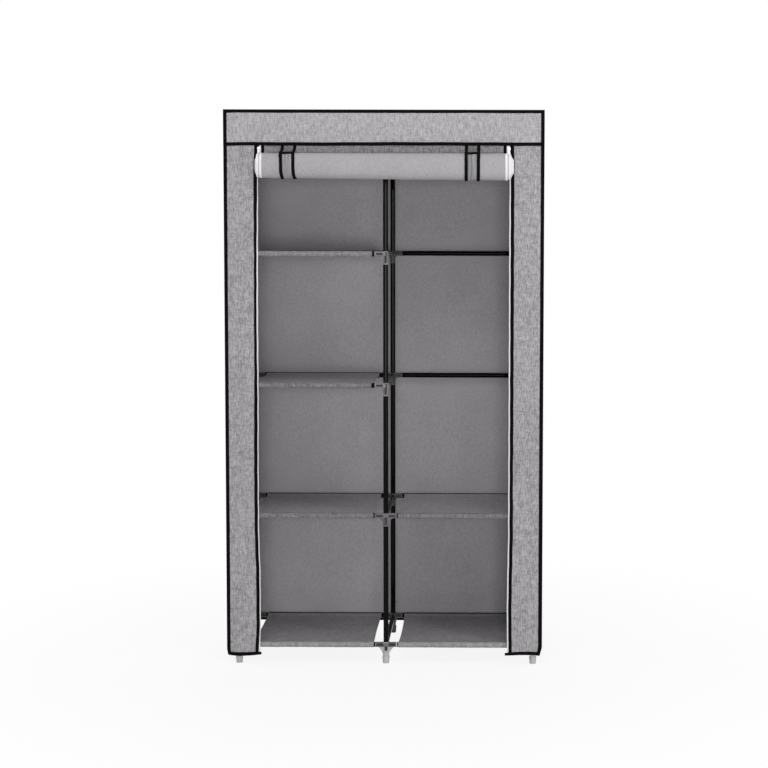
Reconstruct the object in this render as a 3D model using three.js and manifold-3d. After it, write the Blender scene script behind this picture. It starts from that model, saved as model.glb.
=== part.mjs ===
// Portable fabric wardrobe: a push-fit tube frame with fabric shelves, under a sewn cover with a roll-up zip door.
// Millimetres, +Z up, the door faces -Y. The origin is at floor height, in the middle of the whole object's box.
import * as THREE from "three";
import { mergeVertices } from "three/addons/utils/BufferGeometryUtils.js";
import Module from "manifold-3d";

const wasm = await Module();
wasm.setup();

// Frame: distances between tube axes
const columnPitch = 467.5;
const depthPitch = 410;
const tierPitch = 414;
const lowestTier = 59;
const frameShift = 4; // the cover hangs this far left of the frame's middle

// Tubes
const tubeDiameter = 16;
const tubeWall = 1;

// Connectors and feet
const connectorProud = 0.5; // how far a connector stands out from the tube it holds
const armReach = 35; // post axis to the end of an arm
const legDrop = 36.5; // tube axis to the lower end of a connector
const gussetReach = 24;
const gussetThickness = 4;
const spigotLength = 25;
const topSpigotRise = 24; // tube axis to the tip that carries the cover
const footDiameter = 20.5;
const footTopDiameter = 23.5;
const footHeight = 27;

// Hanging rail
const saddleThickness = 2.5;
const saddleLength = 18;

// Shelves
const shelfCloth = 1;
const shelfSag = 6;
const bareTube = 3.5; // tube left showing between a connector's arm and the cloth

// Cover
const coverCloth = 1.2;
const bindingWidth = 9.5;
const bindingProud = 1; // how far the binding tape stands out from each face of the cloth
const sideEase = 13; // slack between the frame's connectors and the side panels
const depthEase = 10.3; // slack between the frame's connectors and the front and back panels
const hemHeight = 28;
const backHemHeight = 37;
const headerHeight = 114;
const headerTuck = 14; // how far the door and its straps reach up behind the header
const stripTuck = 5;
const stripWidth = 102.5; // outer edge to the inner edge of the zip binding

// Zips
const tapeShown = 5.7; // zip tape between the binding and the teeth
const sliderWidth = 10;
const sliderHeight = 13;
const sliderPlate = 1.8;
const sliderBack = 1.5;
const sliderWeb = 1;
const sliderDrop = 3; // header's lower edge to the top of the slider
const bridgeWidth = 3;
const bridgeHeight = 8;
const bridgeBar = 1.4;
const tabWidth = 7;
const tabLength = 19;
const tabThickness = 1.2;
const tabWindow = 5;
const tabPlay = 0.5; // room between the bridge and what turns in it

// Rolled door
const rollHeight = 87;
const rollDepth = 56;
const rollDrop = 21.5; // header's lower edge to the top of the roll
const rollStandoff = 12; // strip's face to the back of the roll
const rollShift = 3; // the roll lies this far right of the cover's middle
const rollTelescope = 22; // how much wider the loosely wound roll is than the flat door
const rollPitch = 2.3; // one turn of cloth to the next
const doorLength = 1608; // header seam to the door's hem
const kneeDrop = 31; // header's lower edge to where the door leaves the plane of the strips

// Tie straps
const strapWidth = 45;
const strapCloth = 1.6;
const leftStrapInset = 93; // middle of the strap, from the door's edge
const rightStrapInset = 113;

// Clearances
const seatGap = 0.3;
const overrun = 2; // how far a cutter passes the face that it cuts
const flatness = 0.01; // joined faces this close to one plane become one face

// Counts and shares
const tierCount = 5;
const tubeSides = 10;
const spigotSides = 6;
const sagSteps = 6;
const gussetSteps = 2;
const kneeSteps = 5;
const turnSteps = 20;
const rollSquareness = 2.5; // 2 is an ellipse; higher is squarer
const gussetBendShare = 0.3;
const strapWrapShare = 0.7; // of a turn round the roll, from its back

// Sizes that follow
const tubeRadius = tubeDiameter / 2;
const boreRadius = tubeRadius - tubeWall;
const connectorRadius = tubeRadius + connectorProud;
const spigotRadius = boreRadius * Math.cos(Math.PI / tubeSides) - seatGap;
const sleeveRadius = tubeRadius + seatGap;
const topTier = lowestTier + (tierCount - 1) * tierPitch;

const coverWidth = 2 * (columnPitch + connectorRadius + sideEase + coverCloth + bindingWidth + seatGap);
const coverDepth = depthPitch + 2 * (connectorRadius + depthEase + coverCloth);
const topUnderside = topTier + topSpigotRise + seatGap;
const topFace = topUnderside + coverCloth;
const coverHeight = topFace + bindingWidth;
const headerBottom = coverHeight - headerHeight;

// Depth runs from the strap's front to the back panel's binding, and the origin is in the middle.
const frontReach = rollStandoff + rollDepth + seatGap + strapCloth;
const frontY = (frontReach - coverDepth - bindingProud) / 2;
const backY = frontY + coverDepth;
const headerBackY = frontY - seatGap;
const headerFaceY = headerBackY - coverCloth;
const frontPostY = frontY + coverCloth + depthEase + connectorRadius;
const rearPostY = frontPostY + depthPitch;
const sidePlane = coverWidth / 2 - bindingWidth;
const tapeEdge = coverWidth / 2 - stripWidth - tapeShown;
const teethLine = tapeEdge - seatGap - sliderWeb / 2;
const doorEdge = teethLine - sliderWeb / 2 - seatGap;

const rollTop = headerBottom - rollDrop;
const rollMiddleZ = rollTop - rollHeight / 2;
const rollMiddleY = frontY - rollStandoff - rollDepth / 2;
const kneeTop = headerBottom - kneeDrop;
const kneeBottom = rollMiddleZ + seatGap;
const sliderZ = headerBottom - sliderDrop - sliderHeight / 2;
const sliderFaceY = frontY - seatGap - sliderPlate;
const barRadius = tabThickness * Math.SQRT1_2;
const pivotY = sliderFaceY - barRadius - tabPlay;

const columns = [
  { name: "left", x: frameShift - columnPitch },
  { name: "middle", x: frameShift },
  { name: "right", x: frameShift + columnPitch },
];
const rows = [
  { name: "front", y: frontPostY, inward: 1 },
  { name: "rear", y: rearPostY, inward: -1 },
];
const bays = [
  { name: "left", from: columns[0].x, to: columns[1].x, shelfTiers: [1, 2, 3, 4] },
  { name: "right", from: columns[1].x, to: columns[2].x, shelfTiers: [1, 2] },
];
const tierZ = (tier) => lowestTier + (tier - 1) * tierPitch;

// Materials
const finish = (color, roughness, metalness = 0) => new THREE.MeshStandardMaterial({ color, roughness, metalness });
const blackSteel = finish(0x141415, 0.25, 0.4);
const linenCloth = finish(0xb2b2b4, 0.9);
const liningCloth = finish(0xb9b9bb, 0.85);
const shelfFabric = finish(0x6e6d70, 0.9);
const strapFabric = finish(0x8f8f92, 0.9);
const zipMetal = finish(0xd8d8da, 0.35, 0.8);

// Solids
function solidOf(geometry) {
  const bare = geometry.index ? geometry.toNonIndexed() : geometry.clone();
  bare.deleteAttribute("normal");
  bare.deleteAttribute("uv");
  const merged = mergeVertices(bare);
  const made = new wasm.Manifold(
    new wasm.Mesh({
      numProp: 3,
      vertProperties: new Float32Array(merged.attributes.position.array),
      triVerts: new Uint32Array(merged.index.array),
    }),
  );
  return made;
}

const joined = (geometries) => geometries.map(solidOf).reduce((whole, next) => whole.add(next));

function meshOf(name, solid, material) {
  const { numProp, numVert, vertProperties, triVerts } = solid.asOriginal().simplify(flatness).getMesh();
  const places = new Float32Array(numVert * 3);
  for (let i = 0; i < numVert; i += 1) {
    places.set(vertProperties.subarray(i * numProp, i * numProp + 3), i * 3);
  }
  const geometry = new THREE.BufferGeometry();
  geometry.setAttribute("position", new THREE.BufferAttribute(places, 3));
  geometry.setIndex(new THREE.BufferAttribute(triVerts, 1));
  geometry.computeVertexNormals();
  const mesh = new THREE.Mesh(geometry, material);
  mesh.name = name;
  return mesh;
}

// Shapes
const ring = (radius, sides) =>
  Array.from({ length: sides }, (_, i) => {
    const angle = ((i + 0.5) / sides) * 2 * Math.PI;
    return new THREE.Vector2(radius * Math.cos(angle), radius * Math.sin(angle));
  });

// Each axis's basis takes an outline's two directions and its depth to where they lie in the wardrobe.
const bases = {
  x: [new THREE.Vector3(0, 1, 0), new THREE.Vector3(0, 0, 1), new THREE.Vector3(1, 0, 0)],
  y: [new THREE.Vector3(0, 0, 1), new THREE.Vector3(1, 0, 0), new THREE.Vector3(0, 1, 0)],
  z: [new THREE.Vector3(1, 0, 0), new THREE.Vector3(0, 1, 0), new THREE.Vector3(0, 0, 1)],
};

function extruded(outline, axis, from, to, hole) {
  const shape = new THREE.Shape(outline);
  if (hole) shape.holes.push(new THREE.Path(hole));
  const geometry = new THREE.ExtrudeGeometry(shape, { depth: to - from, bevelEnabled: false, steps: 1 });
  geometry.translate(0, 0, from);
  return geometry.applyMatrix4(new THREE.Matrix4().makeBasis(...bases[axis]));
}

const rod = (axis, radius, sides, from, to) => extruded(ring(radius, sides), axis, from, to);

// A box between two places on each axis; its corners are set outright, so that neighbours share them exactly.
function block(rangeX, rangeY, rangeZ) {
  const geometry = new THREE.BoxGeometry();
  const places = geometry.attributes.position;
  const pick = (range, share) => range[share > 0 ? 1 : 0];
  for (let i = 0; i < places.count; i += 1) {
    const [x, y, z] = [places.getX(i), places.getY(i), places.getZ(i)];
    places.setXYZ(i, pick(rangeX, x), pick(rangeY, y), pick(rangeZ, z));
  }
  return geometry;
}

// A stretch on the positive side of an axis, or its mirror image on the negative side
const spread = (side, from, to) => (side > 0 ? [from, to] : [-to, -from]);

// A ribbon of cloth seen edge on: the outline round a centre line of points.
function ribbon(points, thickness) {
  const sideOf = (i) => {
    const before = points[Math.max(i - 1, 0)];
    const after = points[Math.min(i + 1, points.length - 1)];
    const along = after.clone().sub(before).normalize();
    return new THREE.Vector2(-along.y, along.x).multiplyScalar(thickness / 2);
  };
  const left = points.map((p, i) => p.clone().add(sideOf(i)));
  const right = points.map((p, i) => p.clone().sub(sideOf(i)));
  return [...right, ...left.reverse()];
}

// Posts: the upright tubes, their connectors and the foot, pushed together into one column
function armParts(axis, direction) {
  const tip = armReach + spigotLength;
  const arm = rod(axis, connectorRadius, tubeSides, ...spread(direction, 0, armReach));
  const spigot = rod(axis, spigotRadius, spigotSides, ...spread(direction, 0, tip));
  return [arm, spigot, gusset(axis, direction)];
}

function gusset(axis, direction) {
  const outer = new THREE.Vector2(gussetReach, -tubeRadius);
  const lower = new THREE.Vector2(tubeRadius, -legDrop + connectorProud);
  const inner = new THREE.Vector2(tubeRadius, -tubeRadius);
  const middle = outer.clone().add(lower).divideScalar(2);
  const bend = new THREE.QuadraticBezierCurve(outer, middle.lerp(inner, gussetBendShare), lower);
  const outline = [new THREE.Vector2(0, -legDrop + connectorProud), new THREE.Vector2()];
  outline.push(new THREE.Vector2(gussetReach, 0), ...bend.getPoints(gussetSteps));
  const web = new THREE.ExtrudeGeometry(new THREE.Shape(outline.reverse()), {
    depth: gussetThickness,
    bevelEnabled: false,
  });
  web.translate(0, 0, -gussetThickness / 2);
  web.rotateX(Math.PI / 2);
  const turns = { x: direction > 0 ? 0 : Math.PI, y: (direction * Math.PI) / 2 };
  return web.rotateZ(turns[axis]);
}

function hasFrontTube(bay, tier) {
  return bay.shelfTiers.includes(tier) || tier === tierCount;
}

function post(column, row) {
  const parts = [rod("z", tubeRadius, tubeSides, 0, topTier)];
  const foot = new THREE.CylinderGeometry(footTopDiameter / 2, footDiameter / 2, footHeight, tubeSides);
  parts.push(foot.rotateX(Math.PI / 2).translate(0, 0, footHeight / 2));
  for (let tier = 1; tier <= tierCount; tier += 1) {
    const z = tierZ(tier);
    const here = [rod("z", connectorRadius, tubeSides, -legDrop, connectorRadius)];
    here.push(...armParts("y", row.inward));
    for (const bay of bays) {
      if (row.name === "front" && !hasFrontTube(bay, tier)) continue;
      if (bay.from === column.x) here.push(...armParts("x", 1));
      if (bay.to === column.x) here.push(...armParts("x", -1));
    }
    parts.push(...here.map((part) => part.translate(0, 0, z)));
  }
  parts.push(rod("z", spigotRadius, spigotSides, topTier, topTier + topSpigotRise));
  const bore = solidOf(rod("z", boreRadius, tubeSides, -overrun, topTier));
  const solid = joined(parts).subtract(bore);
  const mesh = meshOf(`post_${row.name}_${column.name}`, solid, blackSteel);
  mesh.position.set(column.x, row.y, 0);
  return mesh;
}

// Tubes between the posts
function tube(name, axis, place, from, to) {
  const reach = armReach + seatGap;
  const outline = ring(tubeRadius, tubeSides);
  const bore = ring(boreRadius, tubeSides);
  const geometry = extruded(outline, axis, from + reach, to - reach, bore);
  const mesh = meshOf(name, solidOf(geometry), blackSteel);
  mesh.position.copy(place);
  return mesh;
}

const depthTube = (column, tier) =>
  tube(`depth_tube_${column.name}_${tier}`, "y", new THREE.Vector3(column.x, 0, tierZ(tier)), frontPostY, rearPostY);

const widthTube = (row, bay, tier) =>
  tube(`width_tube_${row.name}_${bay.name}_${tier}`, "x", new THREE.Vector3(0, row.y, tierZ(tier)), bay.from, bay.to);

// The clothes rail hangs on the top depth tubes of the right bay by a saddle at each end.
function hangingRail() {
  const bay = bays[1];
  const saddleRadius = sleeveRadius + saddleThickness;
  const middleY = (frontPostY + rearPostY) / 2;
  const parts = [rod("x", tubeRadius, tubeSides, bay.from + sleeveRadius, bay.to - sleeveRadius)];
  const half = saddleLength / 2;
  for (const x of [bay.from, bay.to]) {
    parts.push(rod("y", saddleRadius, tubeSides, -half, half).translate(x, 0, 0));
  }
  let solid = joined(parts);
  for (const x of [bay.from, bay.to]) {
    const seat = rod("y", sleeveRadius, tubeSides, -half - overrun, half + overrun).translate(x, 0, 0);
    const under = block([-saddleRadius, saddleRadius], [-half - overrun, half + overrun], [-2 * saddleRadius, 0]);
    const inward = x === bay.from ? -1 : 1;
    const shift = inward * tubeRadius;
    solid = solid.subtract(solidOf(seat)).subtract(solidOf(under.translate(x + shift, 0, 0)));
  }
  const mesh = meshOf("hanging_rail", solid, blackSteel);
  mesh.position.set(0, middleY, topTier);
  return mesh;
}

// Shelves: a sheet with a sleeve at the front and at the back, each with its tube pushed through
function shelf(bay, tier) {
  const from = bay.from + armReach + bareTube;
  const to = bay.to - armReach - bareTube;
  const outerRadius = sleeveRadius + shelfCloth;
  const sheetZ = sleeveRadius + shelfCloth / 2;
  const points = [];
  for (let i = 0; i <= sagSteps; i += 1) {
    const along = i / sagSteps;
    const sag = 4 * shelfSag * along * (1 - along);
    points.push(new THREE.Vector2(along * depthPitch, sheetZ - sag));
  }
  const sheet = extruded(ribbon(points, shelfCloth), "x", from, to);
  const sleeves = [0, depthPitch].map((y) => rod("x", outerRadius, tubeSides, from, to).translate(0, y, 0));
  let solid = joined([sheet, ...sleeves]);
  for (const y of [0, depthPitch]) {
    const bore = rod("x", sleeveRadius, tubeSides, from - overrun, to + overrun).translate(0, y, 0);
    solid = solid.subtract(solidOf(bore));
  }
  const mesh = meshOf(`shelf_${bay.name}_${tier}`, solid, shelfFabric);
  mesh.position.set(0, frontPostY, tierZ(tier));
  return mesh;
}

// Cover panels: sheets of cloth with binding tape round the seams and hems
function topAndHeader() {
  const half = coverWidth / 2;
  const rimY = [headerFaceY - bindingProud, headerBackY];
  const header = block([-half, half], [headerFaceY, headerBackY], [headerBottom, coverHeight]);
  const lower = block([-half, half], rimY, [headerBottom, headerBottom + bindingWidth]);
  const upper = block([-half, half], rimY, [topFace, coverHeight]);
  const sides = [-1, 1].map((side) => block(spread(side, sidePlane, half), rimY, [headerBottom, coverHeight]));
  const top = block([-sidePlane, sidePlane], [headerFaceY, backY], [topUnderside, topFace]);
  const rim = coverCloth + 2 * bindingProud;
  const backRim = block([-sidePlane, sidePlane], [backY - rim, backY], [topUnderside, coverHeight]);
  const sideRims = [-1, 1].map((side) =>
    block(spread(side, sidePlane - rim, sidePlane), [headerFaceY, backY], [topUnderside, coverHeight]),
  );
  const solid = joined([header, lower, upper, ...sides, top, backRim, ...sideRims]);
  return meshOf("cover_top_and_header", solid, linenCloth);
}

function backPanel() {
  const half = coverWidth / 2;
  const faceY = [backY - coverCloth, backY];
  const rimY = [backY - coverCloth - bindingProud, backY + bindingProud];
  const top = topUnderside - seatGap;
  const sheet = block([-half, half], faceY, [backHemHeight, top]);
  const hem = block([-half, half], rimY, [backHemHeight, backHemHeight + bindingWidth]);
  const seams = [-1, 1].map((side) => block(spread(side, sidePlane, half), rimY, [backHemHeight, top]));
  return meshOf("cover_back", joined([sheet, hem, ...seams]), linenCloth);
}

function sidePanel(name, side) {
  const inset = coverCloth + bindingProud + seatGap;
  const rangeY = [frontY + inset, backY - inset];
  const sheet = block(spread(side, sidePlane - coverCloth, sidePlane), rangeY, [hemHeight, topUnderside - seatGap]);
  const rimX = spread(side, sidePlane - coverCloth - bindingProud, sidePlane + bindingProud);
  const hem = block(rimX, rangeY, [hemHeight, hemHeight + bindingWidth]);
  return meshOf(`cover_side_${name}`, joined([sheet, hem]), linenCloth);
}

function frontStrip(name, side) {
  const outer = coverWidth / 2;
  const bound = outer - stripWidth;
  const rimY = [frontY - bindingProud, frontY + coverCloth + bindingProud];
  const rimTop = headerBottom - seatGap;
  const rangeX = spread(side, tapeEdge, outer);
  const sheet = block(rangeX, [frontY, frontY + coverCloth], [hemHeight, headerBottom + stripTuck]);
  const seam = block(spread(side, sidePlane, outer), rimY, [hemHeight, rimTop]);
  const zipBinding = block(spread(side, bound, bound + bindingWidth), rimY, [hemHeight, rimTop]);
  const hem = block(rangeX, rimY, [hemHeight, hemHeight + bindingWidth]);
  return meshOf(`cover_strip_${name}`, joined([sheet, seam, zipBinding, hem]), linenCloth);
}

// The door hangs in the plane of the strips, then leans out to the back of its roll.
function doorBackY(z) {
  const lean = THREE.MathUtils.smoothstep(kneeTop - z, 0, kneeTop - kneeBottom);
  return frontY + coverCloth - lean * (rollStandoff + coverCloth);
}

function doorLine(offset, topZ) {
  const points = [new THREE.Vector2(doorBackY(topZ) + offset, topZ)];
  for (let i = 0; i <= kneeSteps; i += 1) {
    const z = THREE.MathUtils.lerp(kneeTop, kneeBottom, i / kneeSteps);
    points.push(new THREE.Vector2(doorBackY(z) + offset, z));
  }
  return points;
}

function doorPanel() {
  const line = doorLine(-coverCloth / 2, headerBottom + headerTuck);
  const geometry = extruded(ribbon(line, coverCloth), "x", -doorEdge, doorEdge);
  return meshOf("door_panel", solidOf(geometry), linenCloth);
}

// A point on the roll's squarish oval, some turns round from its back and going down first
function rollPoint(turns, inset) {
  const angle = -2 * Math.PI * turns;
  const power = (share) => Math.sign(share) * Math.abs(share) ** (2 / rollSquareness);
  const across = (rollDepth / 2 - inset) * power(Math.cos(angle));
  const up = (rollHeight / 2 - inset) * power(Math.sin(angle));
  return new THREE.Vector2(rollMiddleY + across, rollMiddleZ + up);
}

// The rolled length is what the door has below its hanging part; turns are added till the cloth is used up.
function rollLine() {
  const rolled = doorLength - (headerBottom + headerTuck - kneeBottom);
  const points = [rollPoint(0, coverCloth / 2)];
  let used = 0;
  for (let step = 1; used < rolled; step += 1) {
    const turns = step / turnSteps;
    const inset = coverCloth / 2 + rollPitch * turns;
    if (inset > rollDepth / 2 - rollPitch) break;
    const next = rollPoint(turns, inset);
    used += next.distanceTo(points[points.length - 1]);
    points.push(next);
  }
  return points;
}

// The least gap between turns, measured from point to point one turn or more apart
function leastGap(points) {
  let least = Infinity;
  points.forEach((p, i) => {
    for (const q of points.slice(i + turnSteps / 2 + 1)) least = Math.min(least, p.distanceTo(q));
  });
  return least - coverCloth;
}

function doorRoll() {
  const line = rollLine();
  console.log(`door roll: ${(line.length - 1) / turnSteps} turns, least gap ${leastGap(line).toFixed(2)} mm`);
  const half = doorEdge + rollTelescope / 2;
  const geometry = extruded(ribbon(line, coverCloth), "x", rollShift - half, rollShift + half);
  return meshOf("door_roll", solidOf(geometry), liningCloth);
}

// A strap hangs behind the door, passes under and round the roll, and ends below the header's lower edge.
function tieStrap(name, place) {
  const middle = strapCloth / 2;
  const points = doorLine(seatGap + middle, headerBottom + headerTuck);
  points.pop();
  for (let step = 0; step <= strapWrapShare * turnSteps; step += 1) {
    points.push(rollPoint(step / turnSteps, -seatGap - middle));
  }
  const end = headerBottom - seatGap;
  for (const z of [end - strapCloth, end]) points.push(new THREE.Vector2(headerFaceY - middle, z));
  const geometry = extruded(ribbon(points, strapCloth), "x", place - strapWidth / 2, place + strapWidth / 2);
  return meshOf(`tie_strap_${name}`, solidOf(geometry), strapFabric);
}

// A zip slider: a plate each side of the tape, a web between the two rows of teeth, and a bridge for the pull tab
function zipSlider(name, side) {
  const x = side * teethLine;
  const rangeZ = [sliderZ - sliderHeight / 2, sliderZ + sliderHeight / 2];
  const rangeX = [x - sliderWidth / 2, x + sliderWidth / 2];
  const clothBack = frontY + coverCloth + seatGap;
  const front = block(rangeX, [sliderFaceY, frontY - seatGap], rangeZ);
  const back = block(rangeX, [clothBack, clothBack + sliderBack], rangeZ);
  const web = block([x - sliderWeb / 2, x + sliderWeb / 2], [sliderFaceY, clothBack + sliderBack], rangeZ);
  const arch = 2 * (barRadius + tabPlay);
  const bridgeX = [x - bridgeWidth / 2, x + bridgeWidth / 2];
  const bridgeZ = [sliderZ - bridgeHeight / 2, sliderZ + bridgeHeight / 2];
  const bridge = block(bridgeX, [sliderFaceY - arch - bridgeBar, frontY - seatGap], bridgeZ);
  const eyeX = [x - bridgeWidth / 2 - overrun, x + bridgeWidth / 2 + overrun];
  const eyeZ = [bridgeZ[0] + bridgeBar, bridgeZ[1] - bridgeBar];
  const eye = block(eyeX, [sliderFaceY - arch, sliderFaceY], eyeZ);
  const solid = joined([front, back, web, bridge]).subtract(solidOf(eye));
  return meshOf(`zip_slider_${name}`, solid, zipMetal);
}

// A pull tab: a plate with a window that the bridge passes through, and a bar above it to turn on
function pullTab(name, side) {
  const x = side * teethLine;
  const half = tabThickness / 2;
  const windowHalf = bridgeWidth / 2 + tabPlay;
  const rangeY = [pivotY - half, pivotY + half];
  const plate = block([x - tabWidth / 2, x + tabWidth / 2], rangeY, [sliderZ - tabLength, sliderZ + half]);
  const cutY = [pivotY - half - overrun, pivotY + half + overrun];
  const window = block([x - windowHalf, x + windowHalf], cutY, [sliderZ - half - tabWindow, sliderZ - half]);
  return meshOf(`zip_tab_${name}`, solidOf(plate).subtract(solidOf(window)), zipMetal);
}

// Assembly
const wardrobe = new THREE.Group();
for (const row of rows) {
  for (const column of columns) wardrobe.add(post(column, row));
}
for (let tier = 1; tier <= tierCount; tier += 1) {
  for (const column of columns) wardrobe.add(depthTube(column, tier));
  for (const bay of bays) {
    if (hasFrontTube(bay, tier)) wardrobe.add(widthTube(rows[0], bay, tier));
    wardrobe.add(widthTube(rows[1], bay, tier));
    if (bay.shelfTiers.includes(tier)) wardrobe.add(shelf(bay, tier));
  }
}
wardrobe.add(hangingRail(), topAndHeader(), backPanel(), doorPanel(), doorRoll());
for (const [name, side] of [["left", -1], ["right", 1]]) {
  wardrobe.add(sidePanel(name, side), frontStrip(name, side), zipSlider(name, side), pullTab(name, side));
}
wardrobe.add(tieStrap("left", leftStrapInset - doorEdge), tieStrap("right", doorEdge - rightStrapInset));

export default wardrobe;
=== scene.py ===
"""A portable fabric wardrobe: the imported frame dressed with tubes, connectors, cloth, zips and a rolled door.

Everything is in metres, in the frame's own axes: +Z up, the door towards -Y, the origin on the floor.
"""

import math

import bpy
import numpy as np
from mathutils import Matrix, Vector


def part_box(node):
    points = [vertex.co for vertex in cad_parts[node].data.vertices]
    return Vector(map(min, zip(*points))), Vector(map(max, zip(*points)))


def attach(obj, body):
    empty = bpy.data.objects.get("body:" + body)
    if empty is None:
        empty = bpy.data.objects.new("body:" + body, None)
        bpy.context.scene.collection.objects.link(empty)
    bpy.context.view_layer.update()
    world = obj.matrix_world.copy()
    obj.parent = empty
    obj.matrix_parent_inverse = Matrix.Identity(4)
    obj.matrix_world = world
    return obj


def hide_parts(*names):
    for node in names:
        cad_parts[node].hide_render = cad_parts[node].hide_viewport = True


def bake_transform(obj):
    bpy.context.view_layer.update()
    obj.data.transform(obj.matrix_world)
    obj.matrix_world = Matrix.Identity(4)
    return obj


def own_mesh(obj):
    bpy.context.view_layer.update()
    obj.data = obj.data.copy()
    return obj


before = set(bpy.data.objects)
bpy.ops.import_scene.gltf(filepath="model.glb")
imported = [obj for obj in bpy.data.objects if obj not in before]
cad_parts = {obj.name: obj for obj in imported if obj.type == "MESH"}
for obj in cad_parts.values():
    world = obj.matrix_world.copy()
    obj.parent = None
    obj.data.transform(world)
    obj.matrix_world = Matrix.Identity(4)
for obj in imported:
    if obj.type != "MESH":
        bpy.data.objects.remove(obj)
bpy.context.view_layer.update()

MM = 0.001
ROOT, ROLL = "frame_and_cover", "rolled_door"
UP = np.array((0.0, 0.0, 1.0))
RIGHT = np.array((1.0, 0.0, 0.0))
FRONT = np.array((0.0, -1.0, 0.0))
SIDES = (("left", -1), ("right", 1))


# Places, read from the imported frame


def low_high(node):
    low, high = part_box(node)
    return np.array(low), np.array(high)


def middle(node):
    low, high = low_high(node)
    return (low + high) / 2


COLUMNS = {c: middle(f"depth_tube_{c}_1")[0] for c in ("left", "middle", "right")}
ROWS = {r: middle(f"width_tube_{r}_left_1")[1] for r in ("front", "rear")}
TIERS = {k: middle(f"depth_tube_left_{k}")[2] for k in range(1, 6)}
TOP_TIER = 5
BAYS = {"left": ("left", "middle"), "right": ("middle", "right")}
SHELF_TIERS = {"left": (1, 2, 3, 4), "right": (1, 2)}

COVER_LOW, COVER_HIGH = low_high("cover_top_and_header")
HALF_WIDTH = COVER_HIGH[0]
HEADER_BOTTOM = COVER_LOW[2]
STRIP_LOW, STRIP_HIGH = low_high("cover_strip_right")
BACK_LOW, BACK_HIGH = low_high("cover_back")
DOOR_LOW, DOOR_HIGH = low_high("door_panel")
DOOR_EDGE = DOOR_HIGH[0]

# Sizes of what the frame leaves out

TUBE_RADIUS = 8 * MM
TUBE_WALL = 1 * MM
TUBE_LIP = 0.3 * MM
CLOTH = 0.8 * MM
BINDING_THICKNESS = 2.8 * MM
SHARP_ANGLE = math.radians(38)

# Stitches and teeth: the pitch, and the size along, across and out

COVER_STITCH = (4 * MM, (2.8 * MM, 0.6 * MM, 0.5 * MM))
SHELF_STITCH = (4.5 * MM, (3.2 * MM, 1.3 * MM, 1.2 * MM))
STRAP_STITCH = (4 * MM, (2.6 * MM, 0.5 * MM, 0.4 * MM))
ZIP_TEETH = (1.7 * MM, (1.9 * MM, 2.4 * MM, 2.4 * MM))


# Numbers


def lerp(a, b, t):
    return a + (b - a) * t


def smooth(t):
    t = np.clip(t, 0, 1)
    return t * t * (3 - 2 * t)


def bell(distance, width):
    return np.exp(-((distance / width) ** 2))


def arch(t, power=1.0):
    """From 0 at both ends to 1 in the middle, the fuller the lower the power."""
    return np.sin(math.pi * t) ** power


def unit(v):
    return v / np.linalg.norm(v, axis=-1, keepdims=True)


def between(at, places, reach=0.0):
    """A value read between (place, value) pairs, eased over reach."""
    keys, values = zip(*places)
    shifts = np.linspace(-reach, reach, 9) if reach else [0.0]
    return np.mean([np.interp(np.asarray(at) + shift, keys, values) for shift in shifts], axis=0)


def ripple(a, b, length, seed, waves=6):
    """Soft irregular waves from -1 to 1 over a plane, about length apart; a and b are arrays."""
    rng = np.random.default_rng(seed)
    angles = rng.uniform(0, math.pi, waves)
    phases = rng.uniform(0, 2 * math.pi, waves)
    stretches = rng.uniform(0.6, 1.8, waves)
    total = 0
    for angle, phase, stretch in zip(angles, phases, stretches):
        along = a * math.cos(angle) + b * math.sin(angle)
        total = total + np.sin(2 * math.pi * along / (length * stretch) + phase)
    return total / waves * 1.6


# Paths and rings


def line(start, end, steps=48):
    return np.linspace(np.asarray(start, float), np.asarray(end, float), steps + 1)


def curve(start, pull, end, count):
    """Points along a bend from start to end, drawn towards pull."""
    t = np.linspace(0, 1, count)[:, None]
    return (1 - t) ** 2 * start + 2 * t * (1 - t) * pull + t**2 * end


def distances(path):
    """The distance along a path at each of its points."""
    return np.concatenate([[0], np.cumsum(np.linalg.norm(np.diff(path, axis=0), axis=1))])


def along(path, pitch):
    """Points spaced evenly along a path, with the direction at each."""
    path = np.asarray(path, float)
    reach = distances(path)
    places = np.arange(pitch / 2, reach[-1], pitch)

    def at(shift):
        return np.stack([np.interp(places + shift, reach, path[:, k]) for k in range(3)], 1)

    return at(0), unit(at(pitch / 9) - at(-pitch / 9))


def circle(sides):
    angles = np.arange(sides) * 2 * math.pi / sides
    return np.cos(angles), np.sin(angles)


def turned(start, axis, profile, sides=32):
    """The rings of a shape turned round axis from start; profile has the distance along it and the radius."""
    axis = unit(np.asarray(axis, float))
    side = unit(np.cross(axis, UP if abs(axis[2]) < 0.9 else RIGHT))
    c, s = circle(sides)
    spokes = c[:, None] * side + s[:, None] * np.cross(axis, side)
    return [np.asarray(start) + axis * place + spokes * radius for place, radius in profile]


def tube_rings(start, end):
    """A steel tube's outside and its two cut ends with eased rims; closed, they go on along its bore."""
    start, end = np.asarray(start, float), np.asarray(end, float)
    length = np.linalg.norm(end - start)
    bore, rim = TUBE_RADIUS - TUBE_WALL, TUBE_RADIUS - TUBE_LIP
    profile = [(0, bore), (0, rim), (TUBE_LIP, TUBE_RADIUS)]
    profile += [(length - TUBE_LIP, TUBE_RADIUS), (length, rim), (length, bore)]
    return turned(start, end - start, profile)


def swept(path, across, out, section, widths=1.0):
    """The rings of a section carried along a path; across and out are the directions of its two numbers."""
    path = np.asarray(path, float)
    across = np.broadcast_to(across, path.shape) * np.broadcast_to(widths, (len(path),))[:, None]
    out = np.broadcast_to(out, path.shape)
    return [p + section[:, :1] * a + section[:, 1:] * o for p, a, o in zip(path, across, out)]


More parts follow.
